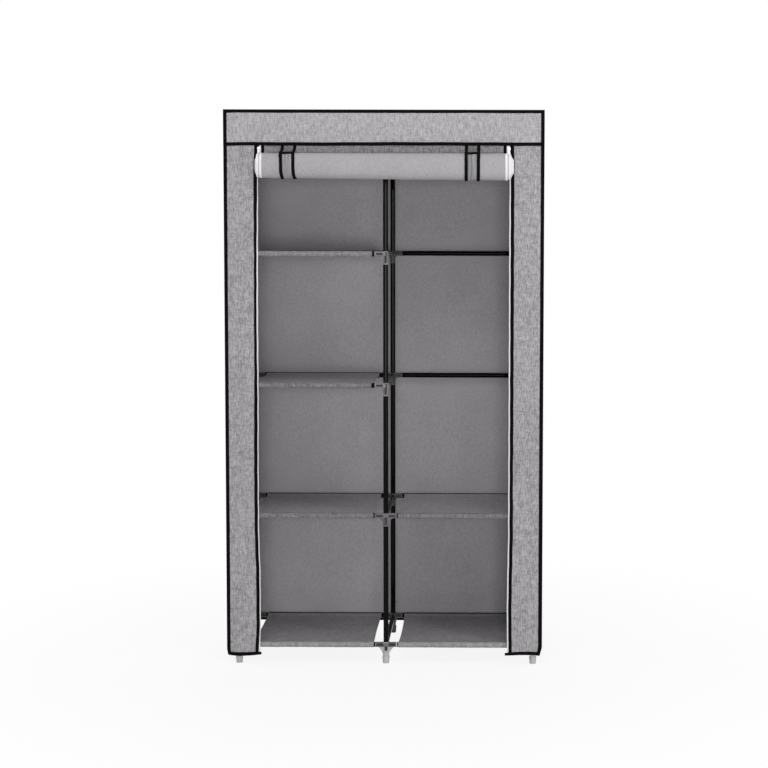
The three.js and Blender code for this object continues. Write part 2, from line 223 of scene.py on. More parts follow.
def flat_section(width, thickness, corner_steps=2):
    """A rounded strip's outline, round its middle."""
    radius = thickness * 0.48
    points = []
    for x, y, first in ((1, 1, 0), (-1, 1, 90), (-1, -1, 180), (1, -1, 270)):
        for k in range(corner_steps + 1):
            angle = math.radians(first + 90 * k / corner_steps)
            px = x * (width / 2 - radius) + radius * math.cos(angle)
            py = y * (thickness / 2 - radius) + radius * math.sin(angle)
            points.append((px, py))
    return np.array(points)


# Pieces


def add_piece(name, verts, faces, materials, slot=None, node=None, indices=None, body=ROOT):
    """Adds a smooth mesh that rides on a body and stands for a CAD node, where these are named."""
    mesh = bpy.data.meshes.new(name)
    mesh.from_pydata(np.asarray(verts).tolist(), [], faces)
    for material in materials:
        mesh.materials.append(material)
    if indices is not None:
        mesh.polygons.foreach_set("material_index", indices)
    mesh.polygons.foreach_set("use_smooth", [True] * len(faces))
    mesh.set_sharp_from_angle(angle=SHARP_ANGLE)
    mesh.update()
    piece = bpy.data.objects.new(name, mesh)
    bpy.context.scene.collection.objects.link(piece)
    if body:
        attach(piece, body)
    if node:
        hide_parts(node)
    return piece


class Parts:
    """Shells made of rings, gathered into one mesh."""

    def __init__(self):
        self.verts, self.faces, self.indices = [], [], []

    def add(self, rings, closed=False, second=()):
        """Joins the rings: a closed shell's last ring meets its first, and any other is capped at both ends.

        second names the quads, by ring and point, that take the piece's second material.
        """
        rings = np.asarray(rings)
        count, points = rings.shape[:2]
        start, first_face = len(self.verts), len(self.faces)
        self.verts.extend(rings.reshape(-1, 3))
        for r in range(count if closed else count - 1):
            a, b = start + r * points, start + (r + 1) % count * points
            for k in range(points):
                n = (k + 1) % points
                self.faces.append((a + k, a + n, b + n, b + k))
        if not closed:
            last = start + (count - 1) * points
            self.faces.append(tuple(range(start, start + points))[::-1])
            self.faces.append(tuple(range(last, last + points)))
        self.indices += [0] * (len(self.faces) - first_face)
        for ring, point in second:
            self.indices[first_face + ring * points + point] = 1

    def piece(self, name, slot, *materials, **facts):
        return add_piece(name, self.verts, self.faces, materials, slot, indices=self.indices, **facts)


def shell(name, rings, material, slot, closed=False, **facts):
    """A piece made of one shell of rings."""
    parts = Parts()
    parts.add(rings, closed)
    return parts.piece(name, slot, material, **facts)


def beads(name, path, kind, across, out, material, slot, **facts):
    """A row of small eight-sided beads, as stitches or zip teeth; kind has their pitch and size."""
    pitch, size = kind
    points, direction = along(path, pitch)
    a = direction * size[0] / 2
    b = np.broadcast_to(np.asarray(across) * size[1] / 2, points.shape)
    c = np.broadcast_to(np.asarray(out) * size[2] / 2, points.shape)
    corners = [points + a, points + b, points - a, points - b, points + c, points - c]
    verts = np.stack(corners, 1).reshape(-1, 3)
    pattern = [(0, 1, 4), (1, 2, 4), (2, 3, 4), (3, 0, 4), (1, 0, 5), (2, 1, 5), (3, 2, 5), (0, 3, 5)]
    if np.dot(np.cross(a[0], b[0]), c[0]) < 0:
        pattern = [face[::-1] for face in pattern]
    faces = [tuple(6 * k + v for v in face) for k in range(len(points)) for face in pattern]
    return add_piece(name, verts, faces, [material], slot, **facts)


def cloth(name, surface, columns, rows, materials, slot, thickness=CLOTH, **facts):
    """A sheet with two sides: surface(u, v) gives its middle at two shares of its width and length.

    The first material is on the side that the normals point to, the last on the other.
    """
    u, v = np.meshgrid(np.linspace(0, 1, columns + 1), np.linspace(0, 1, rows + 1))
    points = surface(u, v)
    normal = unit(np.cross(np.gradient(points, axis=1), np.gradient(points, axis=0)))
    layers = [points + normal * thickness / 2, points - normal * thickness / 2]
    verts = np.concatenate([layer.reshape(-1, 3) for layer in layers])
    wide, count = columns + 1, (columns + 1) * (rows + 1)
    faces, indices = [], []
    for j in range(rows):
        for i in range(columns):
            a = j * wide + i
            quad = (a, a + 1, a + wide + 1, a + wide)
            faces.append(quad)
            faces.append(tuple(count + q for q in quad[::-1]))
            indices += [0, len(materials) - 1]
    rim = list(range(columns)) + [j * wide + columns for j in range(rows)]
    rim += [rows * wide + i for i in range(columns, 0, -1)] + [j * wide for j in range(rows, 0, -1)]
    for k, a in enumerate(rim):
        b = rim[(k + 1) % len(rim)]
        faces.append((a, count + a, count + b, b))
        indices.append(0)
    return add_piece(name, verts, faces, materials, slot, indices=indices, **facts)


# Materials


class Nodes:
    """Short calls that build a node tree."""

    def __init__(self, tree):
        self.tree = tree

    def node(self, kind, sockets=(), **settings):
        """A new node; sockets has pairs of an input's name and its value."""
        node = self.tree.nodes.new(kind)
        for key, value in settings.items():
            setattr(node, key, value)
        for socket, value in sockets:
            node.inputs[socket].default_value = value
        return node

    def link(self, start, end):
        self.tree.links.new(start, end)

    def math(self, operation, a, b=0):
        node = self.node("ShaderNodeMath", operation=operation)
        for socket, value in zip(node.inputs, (a, b)):
            if isinstance(value, (int, float)):
                socket.default_value = value
            else:
                self.link(value, socket)
        return node.outputs[0]

    def white_for_camera(self, lit, kind, share=1.0):
        """Mixes lit with a white glow that only the camera and glossy rays see, by its share."""
        path = self.node("ShaderNodeLightPath")
        either = self.math("MAXIMUM", path.outputs["Is Camera Ray"], path.outputs["Is Glossy Ray"])
        glow = self.node(kind, [("Strength", 1.0), ("Color", (1, 1, 1, 1))])
        mix = self.node("ShaderNodeMixShader")
        self.link(self.math("MULTIPLY", either, share), mix.inputs[0])
        self.link(lit, mix.inputs[1])
        self.link(glow.outputs[0], mix.inputs[2])
        return mix.outputs[0]


class Shader(Nodes):
    """A material, with short calls for what the cloths and plastics share."""

    def __init__(self, name, color, roughness, metallic=0.0, specular=0.5, sheen=0.0):
        self.material = bpy.data.materials.new(name)
        self.material.use_nodes = True
        super().__init__(self.material.node_tree)
        self.bsdf = self.tree.nodes["Principled BSDF"]
        finish = [("Base Color", (*color, 1)), ("Roughness", roughness), ("Metallic", metallic)]
        for socket, value in finish + [("Specular IOR Level", specular), ("Sheen Weight", sheen)]:
            self.bsdf.inputs[socket].default_value = value
        self.place = self.node("ShaderNodeTexCoord").outputs["Object"]

    def noise(self, scale, stretch=(1, 1, 1), detail=3.0, roughness=0.55, offset=(0, 0, 0)):
        """Noise with about scale spots a metre, drawn out where stretch is small; gives its value."""
        mapping = self.node("ShaderNodeMapping", [("Scale", stretch), ("Location", offset)])
        facts = [("Scale", scale), ("Detail", detail), ("Roughness", roughness)]
        noise = self.node("ShaderNodeTexNoise", facts)
        self.link(self.place, mapping.inputs["Vector"])
        self.link(mapping.outputs["Vector"], noise.inputs["Vector"])
        return noise.outputs["Fac"]

    def mixed(self, value, share, rest):
        """The value times its share, on top of the rest."""
        return self.math("ADD", self.math("MULTIPLY", value, share), rest)

    def color(self, value, dark, light, low=0.35, high=0.65):
        """Colours the surface from dark, where the value is low, to light, where it is high."""
        ramp = self.node("ShaderNodeValToRGB")
        for element, position, shade in zip(ramp.color_ramp.elements, (low, high), (dark, light)):
            element.position = position
            element.color = (*shade, 1)
        self.link(value, ramp.inputs["Fac"])
        self.link(ramp.outputs["Color"], self.bsdf.inputs["Base Color"])

    def bump(self, height, distance, strength):
        node = self.node("ShaderNodeBump", [("Distance", distance), ("Strength", strength)])
        self.link(height, node.inputs["Height"])
        self.link(node.outputs["Normal"], self.bsdf.inputs["Normal"])

    def weave(self, pitch):
        """The height of crossing threads, pitch apart along all three axes."""
        split = self.node("ShaderNodeSeparateXYZ")
        self.link(self.place, split.inputs[0])
        turns = [self.math("MULTIPLY", split.outputs[axis], 2 * math.pi / pitch) for axis in range(3)]
        x, y, z = (self.math("SINE", turn) for turn in turns)
        return self.math("ADD", self.math("MULTIPLY", x, z), self.math("MULTIPLY", y, z))


def grey(value):
    """A faintly violet grey from its display value between 0 and 255."""
    s = value / 255
    linear = s / 12.92 if s < 0.04045 else ((s + 0.055) / 1.055) ** 2.4
    return (linear, linear * 0.962, linear)


def linen(name, dark, light, fineness=1.0):
    """Heathered cloth: slubs of two sizes down the cloth and thin ones across it, over a mottled ground."""
    shader = Shader(name, grey((dark + light) / 2), 0.92, specular=0.1, sheen=0.05)
    spots = 0
    for scale, stretch, detail, offset, share in (
        (300, (1, 1, 0.2), 3, (0, 0, 0), 0.46),
        (820, (1, 1, 0.16), 3, (4, 9, 2), 0.20),
        (430, (0.12, 0.3, 1), 3, (3, 1, 2), 0.24),
        (60, (1, 1, 0.7), 2, (7, 5, 9), 0.10),
    ):
        spots = shader.mixed(shader.noise(scale * fineness, stretch, detail, 0.62, offset), share, spots)
    shader.color(spots, grey(dark), grey(light), 0.41, 0.59)
    shader.bump(shader.mixed(shader.weave(1.5 * MM), 0.35, spots), 0.25 * MM, 0.5)
    return shader.material


def felt(name, dark, light):
    """Plain non-woven cloth: pressed fibres with a faint dot grid."""
    shader = Shader(name, grey((dark + light) / 2), 0.9, specular=0.1, sheen=0.05)
    fibres = shader.noise(260, (1, 1, 0.55), 4, 0.6)
    clouds = shader.noise(9, (1, 1, 1), 2, 0.5, (2, 8, 4))
    spots = shader.mixed(fibres, 0.8, shader.math("MULTIPLY", clouds, 0.2))
    shader.color(spots, grey(dark), grey(light), 0.38, 0.62)
    shader.bump(shader.mixed(shader.weave(1.8 * MM), 0.25, fibres), 0.15 * MM, 0.5)
    return shader.material


def webbing(name, dark, light, roughness=0.85, streak=1.0):
    """Narrow woven tape: fine ribs across a ground that varies a little, drawn out where streak is small."""
    shader = Shader(name, grey((dark + light) / 2), roughness, specular=0.05)
    ground = shader.noise(320, (1, streak, streak), 3, 0.6)
    shader.color(ground, grey(dark), grey(light))
    shader.bump(shader.mixed(shader.weave(1.1 * MM), 0.5, ground), 0.2 * MM, 0.6)
    return shader.material


def moulded(name, dark, light, roughness=0.45):
    """Moulded plastic: a faint grain and slow changes of tone."""
    shader = Shader(name, grey((dark + light) / 2), roughness, specular=0.25)
    shader.color(shader.noise(60, (1, 1, 1), 3, 0.5), grey(dark), grey(light), 0.3, 0.7)
    shader.bump(shader.noise(1500, (1, 1, 1), 2, 0.5), 0.05 * MM, 0.4)
    return shader.material


def lacquered(name, value, specular):
    """Painted steel tube: smooth black paint with slight runs."""
    shader = Shader(name, grey(value), 0.03, specular=specular)
    shader.color(shader.noise(40, (1, 1, 0.3), 3, 0.5), grey(value * 0.7), grey(value * 1.3), 0.3, 0.7)
    shader.bump(shader.noise(300, (1, 1, 0.3), 2, 0.5), 0.02 * MM, 0.3)
    return shader.material


def plated(name, value):
    """Plated zip metal with fine scuffs."""
    shader = Shader(name, grey(value), 0.3, metallic=0.9)
    scuffs = shader.noise(900, (1, 1, 0.3), 3, 0.6)
    shader.color(scuffs, grey(value * 0.85), grey(value), 0.3, 0.7)
    shader.bump(scuffs, 0.03 * MM, 0.3)
    return shader.material


LINEN = linen("linen_print", 127, 185)
# The header is the strips' linen written lighter: painted light, for the light that falls on it at the top
LIT_HEADER_LINEN = linen("header_linen_painted_light", 143, 191, fineness=0.78)
# The door's outer face is the same linen written darker: painted shade, for the shade under the header
SHADED_DOOR_LINEN = linen("door_linen_painted_shade", 104, 160)
LINING = felt("cover_lining", 158, 174)
ROLL_LINING = felt("door_lining", 160, 172)
SHELF = linen("shelf_linen", 134, 180)
# The front sleeves are the shelf's linen in a tone per tier: painted light and shade, set for the light that
# reaches each tier
SLEEVE_LIGHT_GREYS = {1: (126, 178), 2: (94, 145), 3: (96, 147), 4: (105, 157)}
PAINTED_LIGHT_SLEEVES = {tier: linen(f"sleeve_linen_painted_light_{tier}", *greys) for tier, greys in SLEEVE_LIGHT_GREYS.items()}
# A dark felt round the rear tube is painted shade where the shelf meets the back
SHELF_REAR_SHADE = felt("shelf_rear_painted_shade", 66, 78)
SHELF_UNDER = felt("shelf_underside", 110, 125)
BINDING = webbing("black_binding", 5, 14, 0.8)
TAPE = webbing("white_zip_tape", 228, 244)
STRAP = webbing("grey_webbing", 110, 164, 0.85, 0.04)
# The tab is the strap's webbing written darker: painted shade under the header's hem
SHADED_TAB_WEB = webbing("tab_webbing_painted_shade", 84, 136, 0.85, 0.5)
UPRIGHT = lacquered("black_upright", 5, 0.08)
TUBE = lacquered("black_tube", 5, 0.02)
PLASTIC = moulded("grey_plastic", 124, 142)
# Darker copies of the grey plastic, for the low tiers and the rear row, are painted shade
SHADED_PLASTIC = moulded("shaded_plastic", 102, 120)
SHADED_REAR_PLASTIC = moulded("rear_plastic_painted_shade", 84, 98)
SLOT_SHADE = moulded("slot_shade", 48, 58, 0.7)
FOOT = moulded("foot_plastic", 184, 200)
ZIP = plated("zip_metal", 236)
THREAD = webbing("black_thread", 14, 24, 0.7)
PALE_THREAD = webbing("grey_thread", 150, 170, 0.6)


# Camera, floor and light: the photograph's view, from a little right of the middle and above it

CAMERA_PLACE = (0.311, -5.269, 1.33)
CAMERA_DOWN, CAMERA_LEFT, CAMERA_ROLL = 3.82, 0.35, 0.142
LENS, SENSOR_WIDTH = 76.10, 36
SHIFT_X, SHIFT_Y = -0.1163, -0.04
FLOOR_HALF, FLOOR_Z = 14.0, -0.5 * MM
WORLD_LIGHT = 0.2
LIGHTS = (  # name, place, target, width and height, power
    ("key", (0.42, -6.5, 1.05), (0.1, 0, 0.95), (1.4, 1.4), 126),
    ("top", (0.2, -2.1, 3.7), (0, -0.1, 0.9), (2.6, 1.2), 32),
    ("steep", (0.15, -1.35, 4.2), (0, -0.2, 0.9), (2.4, 1.0), 14),
    ("right", (3.4, -3.6, 1.2), (0, 0, 0.95), (0.5, 2.4), 40),
    ("back", (0.0, 4.2, 2.4), (0, 0, 0.9), (2.6, 2.0), 75),
    ("far_left", (-4.4, 0.9, 1.7), (0, 0.3, 0.9), (2.0, 2.0), 55),
    ("far_right", (4.4, 0.9, 1.7), (0, 0.3, 0.9), (2.0, 2.0), 35),
)


def set_camera():
    data = bpy.data.cameras.new("camera")
    data.lens, data.sensor_width = LENS, SENSOR_WIDTH
    data.shift_x, data.shift_y = SHIFT_X, SHIFT_Y
    camera = bpy.data.objects.new("camera", data)
    camera.location = CAMERA_PLACE
    turns = [Matrix.Rotation(math.radians(angle), 3, axis)
             for angle, axis in ((CAMERA_LEFT, "Z"), (90 - CAMERA_DOWN, "X"), (CAMERA_ROLL, "Z"))]
    camera.rotation_euler = (turns[0] @ turns[1] @ turns[2]).to_euler()
    bpy.context.scene.collection.objects.link(camera)
    bpy.context.scene.camera = camera


def set_stage():
    """A pale floor that takes the object's shadow nearby and fades into the white background further off."""
    verts = [(x * FLOOR_HALF, y * FLOOR_HALF, FLOOR_Z) for x, y in ((-1, -1), (1, -1), (1, 1), (-1, 1))]
    shader = Shader("floor_paint", (0.9, 0.9, 0.9), 0.8, specular=0.2)
    shader.color(shader.noise(3, detail=2), (0.89, 0.89, 0.89), (0.91, 0.91, 0.91))
    distance = shader.node("ShaderNodeVectorMath", operation="LENGTH")
    shader.link(shader.place, distance.inputs[0])
    reach = [("From Min", 0.6), ("From Max", 1.9), ("To Min", 0.89), ("To Max", 1.0)]
    fade = shader.node("ShaderNodeMapRange", reach, interpolation_type="SMOOTHSTEP")
    shader.link(distance.outputs["Value"], fade.inputs["Value"])
    glow = shader.white_for_camera(shader.bsdf.outputs[0], "ShaderNodeEmission", fade.outputs["Result"])
    shader.link(glow, shader.tree.nodes["Material Output"].inputs["Surface"])
    add_piece("floor", verts, [(0, 1, 2, 3)], [shader.material], body=None)


def set_light():
    world = bpy.data.worlds.new("world")
    bpy.context.scene.world = world
    world.use_nodes = True
    nodes = Nodes(world.node_tree)
    background = nodes.tree.nodes["Background"]
    background.inputs["Color"].default_value = (1, 1, 1, 1)
    background.inputs["Strength"].default_value = WORLD_LIGHT
    lit = nodes.white_for_camera(background.outputs[0], "ShaderNodeBackground")
    nodes.link(lit, nodes.tree.nodes["World Output"].inputs["Surface"])
    for name, place, target, size, power in LIGHTS:
        data = bpy.data.lights.new(name, "AREA")
        data.shape = "RECTANGLE"
        data.size, data.size_y = size
        data.energy = power
        light = bpy.data.objects.new(name, data)
        light.location = place
        light.rotation_euler = (Vector(target) - Vector(place)).to_track_quat("-Z", "Y").to_euler()
        bpy.context.scene.collection.objects.link(light)


# Frame: tubes, connectors and feet

CONNECTOR_RADIUS = 8.5 * MM
ARM_REACH, REAR_ARM_REACH = 35 * MM, 32 * MM
RIGHT_ARM_CUT = 1.5 * MM
LEG_DROP = 33.5 * MM
GUSSET_REACH, REAR_GUSSET_REACH = 25 * MM, 16 * MM
GUSSET_DROP, FOOT_GUSSET_DROP = 31.5 * MM, 42 * MM
GUSSET_THICKNESS = 4 * MM
GUSSET_TIP, GUSSET_FOOT = 6 * MM, 6.5 * MM
FILLET, FOOT_FILLET = 0.35, 0.5
COLLAR = 0.2 * MM
ROD_LIP = 0.6 * MM
GROOVE_DEPTH = 1.8 * MM
GROOVE_RIM_ANGLE = 0.03
GROOVE_STEPS = np.array((0.0, 0.3, 0.7, 1.0))
ARM_GROOVE_START, ARM_GROOVE_GAP = 8 * MM, 3.2 * MM
LEG_GROOVE_START, LEG_GROOVE_GAP = 2 * MM, 3.5 * MM
FOOT_GROOVE = (1.5 * MM, 29 * MM)
ARM_GROOVE_WIDTH, LOW_ARM_GROOVE_WIDTH = 7.6 * MM, 11.5 * MM
LEG_GROOVE_WIDTH, FOOT_GROOVE_WIDTH = 9 * MM, 12.5 * MM
FOOT_RADIUS = 10.2 * MM
SPIGOT_RADIUS = 6.6 * MM
SOLE = np.array([(0, 9.6), (20, 11.6), (21, 11.2)]) * MM
CROWN = np.array([(0, 6.6), (15, 6.6), (19, 5.6), (22, 3.5), (23.3, 1)]) * MM
HOOK_WIDTH, HOOK_THICKNESS = 18 * MM, 2.4 * MM
HOOK_RADIUS = TUBE_RADIUS + 1.6 * MM
STUB_LENGTH = 24 * MM


def add_rod(parts, start, axis, face, radius, length, groove, width, collar=0.0, tip=None):
    """Adds a rod with a round-ended groove along its face and its back, its floor in the second material.

    groove has the places of its two ends along the rod, and tip is the rod's radius at its far end.
    """
    side = np.cross(axis, face)
    first, last = groove
    end = width / 2
    stops = [0.0, *(first + end * GROOVE_STEPS), *(last - end * GROOVE_STEPS[::-1])]
    stops += [length - 3 * MM, length - 2.7 * MM, length - ROD_LIP, length]
    rings, deep = [], []
    for k, s in enumerate(stops):
        short = max(first + end - s, s - (last - end), 0)
        half = math.sqrt(max(end**2 - short**2, 0)) if first <= s <= last else 0
        here = lerp(radius, tip or radius, s / length) + (collar if k >= len(stops) - 3 else 0)
        if k == len(stops) - 1:
            here -= ROD_LIP
        opening = math.asin(min(max(half, 0.4 * MM) / here, 0.9))
        deep.append(half > 0.5 * MM)
        cut = here - (GROOVE_DEPTH if deep[-1] else 0)
        angles, radii = [], []
        for centre in (0, math.pi):
            left, right = centre - opening, centre + opening
            angles += [left - GROOVE_RIM_ANGLE, left, right, right + GROOVE_RIM_ANGLE]
            angles += list(np.linspace(right + GROOVE_RIM_ANGLE, left + math.pi - GROOVE_RIM_ANGLE, 9)[1:-1])
            radii += [here, cut, cut, here] + [here] * 7
        angles, radii = np.array(angles)[:, None], np.array(radii)[:, None]
        rings.append(start + axis * s + (np.cos(angles) * face + np.sin(angles) * side) * radii)
    floor = [(k, point) for k in range(len(stops) - 1) if deep[k] or deep[k + 1] for point in (1, 12)]
    parts.add(rings, second=floor)


def gusset_rings(corner, direction, reach, drop, fillet):
    """A curved web between an arm and the leg below it, with its edges eased; a high fillet bends it more."""
    outer, lower = np.array((reach, -GUSSET_TIP)), np.array((GUSSET_FOOT, -drop))
    pull = np.array((lerp(lower[0], outer[0], fillet * 0.35), lerp(outer[1], lower[1], fillet)))
    outline = np.concatenate([[(0, -drop), (0, 0), (reach, 0)], curve(outer, pull, lower, 9)])
    side = np.cross(direction, UP)
    rings = []
    for level, inset in ((0.5, 0.5), (0.35, 0.0), (-0.35, 0.0), (-0.5, 0.5)):
        eased = outline + unit(outline.mean(0) - outline) * inset * MM
        flat = eased[:, :1] * direction + eased[:, 1:] * UP
        rings.append(corner + flat + side * level * GUSSET_THICKNESS)
    return rings


def arms_of(row, column, tier):
    """The directions of the arms of one connector."""
    directions = [np.array((0, 1.0 if row == "front" else -1.0, 0))]
    for bay, (first, second) in BAYS.items():
        if row == "front" and tier not in SHELF_TIERS[bay] and tier != TOP_TIER:
            continue
        if column == first:
            directions.append(RIGHT)
        if column == second:
            directions.append(-RIGHT)
    return directions


def add_connector(row, column, tier):
    """One connector: its arms, and its leg with curved webs; at the lowest tier the leg is the foot."""
    node = f"post_{row}_{column}"
    rear, lowest = row == "rear", tier == 1
    face = -FRONT if rear else FRONT
    centre = np.array((COLUMNS[column], ROWS[row], TIERS[tier]))
    parts = Parts()
    leg = Parts() if lowest else parts
    for direction in arms_of(row, column, tier):
        sideways = abs(direction[0]) > 0.5
        cut = RIGHT_ARM_CUT if direction[0] > 0.5 else 0
        reach = REAR_ARM_REACH if sideways and rear else ARM_REACH - cut
        groove = (ARM_GROOVE_START, reach - ARM_GROOVE_GAP)
        width = LOW_ARM_GROOVE_WIDTH if lowest else ARM_GROOVE_WIDTH
        arm_face = face if sideways else RIGHT
        add_rod(parts, centre, direction, arm_face, CONNECTOR_RADIUS - COLLAR, reach, groove, width, COLLAR)
        web_reach = REAR_GUSSET_REACH if rear else GUSSET_REACH
        drop, fillet = (FOOT_GUSSET_DROP, FOOT_FILLET) if lowest else (GUSSET_DROP, FILLET)
        leg.add(gusset_rings(centre, direction, web_reach, drop, fillet))
    top = centre + UP * CONNECTOR_RADIUS
    if lowest:
        length, width = top[2], FOOT_GROOVE_WIDTH
        add_rod(leg, top, -UP, face, CONNECTOR_RADIUS, length, FOOT_GROOVE, width, tip=FOOT_RADIUS)
        leg.add(turned((centre[0], centre[1], 1 * MM), UP, SOLE))
    else:
        length = CONNECTOR_RADIUS + LEG_DROP
        groove = (LEG_GROOVE_START, length - LEG_GROOVE_GAP)
        add_rod(leg, top, -UP, face, CONNECTOR_RADIUS, length, groove, LEG_GROOVE_WIDTH, COLLAR)
    if tier == TOP_TIER:
        parts.add(turned(centre, UP, CROWN, 24))
    # Rear connectors and the two lowest tiers take the darker copies: painted shade
    material = SHADED_REAR_PLASTIC if rear else SHADED_PLASTIC if tier <= 2 else PLASTIC
    parts.piece(f"connector_{row}_{column}_{tier}", "grey_plastic", material, SLOT_SHADE, node=node)
    if lowest:
        # The rear feet take the painted shade plastic too
        material = SHADED_REAR_PLASTIC if rear else FOOT
        leg.piece(f"foot_{row}_{column}", "foot_plastic", material, SLOT_SHADE, node=node)


def add_post(row, column):
    for tier in TIERS:
        add_connector(row, column, tier)
    for k in range(1, TOP_TIER):
        foot = (COLUMNS[column], ROWS[row], TIERS[k] + CONNECTOR_RADIUS)
        head = (COLUMNS[column], ROWS[row], TIERS[k + 1] - LEG_DROP)
        name = f"upright_{row}_{column}_{k}"
        shell(name, tube_rings(foot, head), UPRIGHT, "black_tube", closed=True, node=f"post_{row}_{column}")


def add_tube(node):
    """The round tube in place of a faceted one; its own box gives its ends."""
    low, high = low_high(node)
    axis = int(np.argmax(high - low))
    start, end = middle(node), middle(node)
    start[axis], end[axis] = low[axis], high[axis]
    if node.startswith("width_tube_rear"):
        start[0] -= ARM_REACH - REAR_ARM_REACH
        end[0] += ARM_REACH - REAR_ARM_REACH
    shell(node + "_round", tube_rings(start, end), TUBE, "black_tube", closed=True, node=node)


def add_rail():
    """The clothes rail, with a plastic hook over the depth tube at each end."""
    node = "hanging_rail"
    y, z = middle(node)[1], TIERS[TOP_TIER]
    first, last = COLUMNS["middle"], COLUMNS["right"]
    gap = TUBE_RADIUS + 3 * MM
    rings = tube_rings((first + gap, y, z), (last - gap, y, z))
    shell("hanging_rail_round", rings, TUBE, "black_tube", closed=True, node=node)
    angles = np.radians(np.linspace(-25, 205, 17))
    for name, x, inward in (("left", first, 1), ("right", last, -1)):
        spokes = np.stack([np.cos(angles) * inward, 0 * angles, np.sin(angles)], 1)
        section = flat_section(HOOK_WIDTH, HOOK_THICKNESS)
        hook = Parts()
        hook.add(swept((x, y, z) + spokes * HOOK_RADIUS, -FRONT, spokes, section)[::inward])
        root = (x + inward * (TUBE_RADIUS + 1.5 * MM), y, z)
        hook.add(turned(root, RIGHT * inward, [(0, SPIGOT_RADIUS), (STUB_LENGTH, SPIGOT_RADIUS)], 24))
        hook.piece(f"rail_hook_{name}", "grey_plastic", PLASTIC, node=node)


# Shelves

SLEEVE_RADIUS = 8.9 * MM
SLEEVE_POINTS = 17
SEAM_INSET = 25 * MM
SEAM_DIP = 4.5 * MM
SHELF_SAG = 5 * MM
SHELF_EASE, SHELF_WAIST = 0.5 * MM, 2.5 * MM
SHEET_START, SHEET_FADE = 20 * MM, 30 * MM
# How deep the band of painted shade round the rear tube reaches
REAR_SHADE_DEPTH = 11 * MM
SHORT_ENDS = {("left", 4): 3.2 * MM, ("left", 3): 6 * MM}


def shelf_dip(share):
    """How far the sheet sags at a share of its depth."""
    return SHELF_SAG * 4 * share * (1 - share)


def shelf_profile(depth):
    """The cloth seen from its end, in depth and height from the front tube's axis.

    It goes from the front sleeve's seam round the front tube, over the sheet, and round the rear tube.
    """
    def sleeve(y, first, last):
        angles = np.radians(np.linspace(first, last, SLEEVE_POINTS))
        return [(y + SLEEVE_RADIUS * math.cos(angle), SLEEVE_RADIUS * math.sin(angle)) for angle in angles]

    seam_z = SLEEVE_RADIUS - SEAM_DIP - 1.2 * MM
    share = np.linspace(0.03, 0.97, 41)
    y = share * depth
    edge = np.minimum(y, depth - y)
    ridge = 0.9 * MM * bell(edge - SEAM_INSET, 3.0 * MM)
    z = SLEEVE_RADIUS - (SEAM_DIP * smooth(edge / SEAM_INSET) + shelf_dip(share)) + ridge
    front_end = [(SEAM_INSET, seam_z)] + sleeve(0, -62, -270)
    rear_end = sleeve(depth, 90, -118) + [(depth - SEAM_INSET, seam_z)]
    return np.concatenate([front_end, np.stack([y, z], 1), rear_end])


def add_shelf(bay, tier, seed):
    node = f"shelf_{bay}_{tier}"
    low, high = low_high(node)
    depth = ROWS["rear"] - ROWS["front"]
    profile = shelf_profile(depth)
    steps = distances(profile)
    length = steps[-1]
    short = SHORT_ENDS.get((bay, tier), 0.0)

    def surface(u, v):
        y = np.interp(v * length, steps, profile[:, 0])
        z = np.interp(v * length, steps, profile[:, 1])
        sheet = smooth((y - SHEET_START) / SHEET_FADE) * smooth((depth - SHEET_START - y) / SHEET_FADE)
        pull = SHELF_EASE + SHELF_WAIST * arch(np.clip(y / depth, 0, 1))
        x = lerp(low[0] + pull, high[0] - pull - short, u)
        rolling = 1.1 * MM * ripple(x, y, 0.16, seed) + 0.35 * MM * ripple(x, y * 0.3, 0.03, seed + 50)
        pucker = 0.35 * MM * ripple(x, y * 0.1, 0.022, seed + 9)
        return np.stack([x, ROWS["front"] + y, TIERS[tier] + z + lerp(pucker, rolling, sheet)], -1)

    columns, rows = 96, len(profile) * 2
    materials = [SHELF, PAINTED_LIGHT_SLEEVES[tier], SHELF_REAR_SHADE, SHELF_UNDER]
    piece = cloth(f"shelf_cloth_{bay}_{tier}", surface, columns, rows, materials, "shelf_fabric", node=node)
    # The front sleeve takes a tone per tier, which is painted light and shade, and a band of painted shade goes
    # round the rear tube where the sheet meets the back
    places = np.arange(rows) / rows * length
    row_depth = np.interp(places, steps, profile[:, 0])
    front = (places < steps[SLEEVE_POINTS + 1]) | (places < length / 2) & (row_depth < 1 * MM)
    rear = ~front & (row_depth > depth - REAR_SHADE_DEPTH)
    for j in np.flatnonzero(front | rear):
        for k in range(j * columns * 2, (j + 1) * columns * 2, 2):
            piece.data.polygons[k].material_index = 1 if front[j] else 2
    for row, y in (("front", SEAM_INSET), ("rear", depth - SEAM_INSET)):
        z = TIERS[tier] + SLEEVE_RADIUS - SEAM_DIP - shelf_dip(y / depth) + 1.5 * MM
        ends = [(x, ROWS["front"] + y, z) for x in (low[0] + 4 * MM, high[0] - 4 * MM - short)]
        name = f"shelf_stitch_{bay}_{tier}_{row}"
        beads(name, line(*ends, 59), SHELF_STITCH, -FRONT, UP, PALE_THREAD, "shelf_fabric")


# Cover

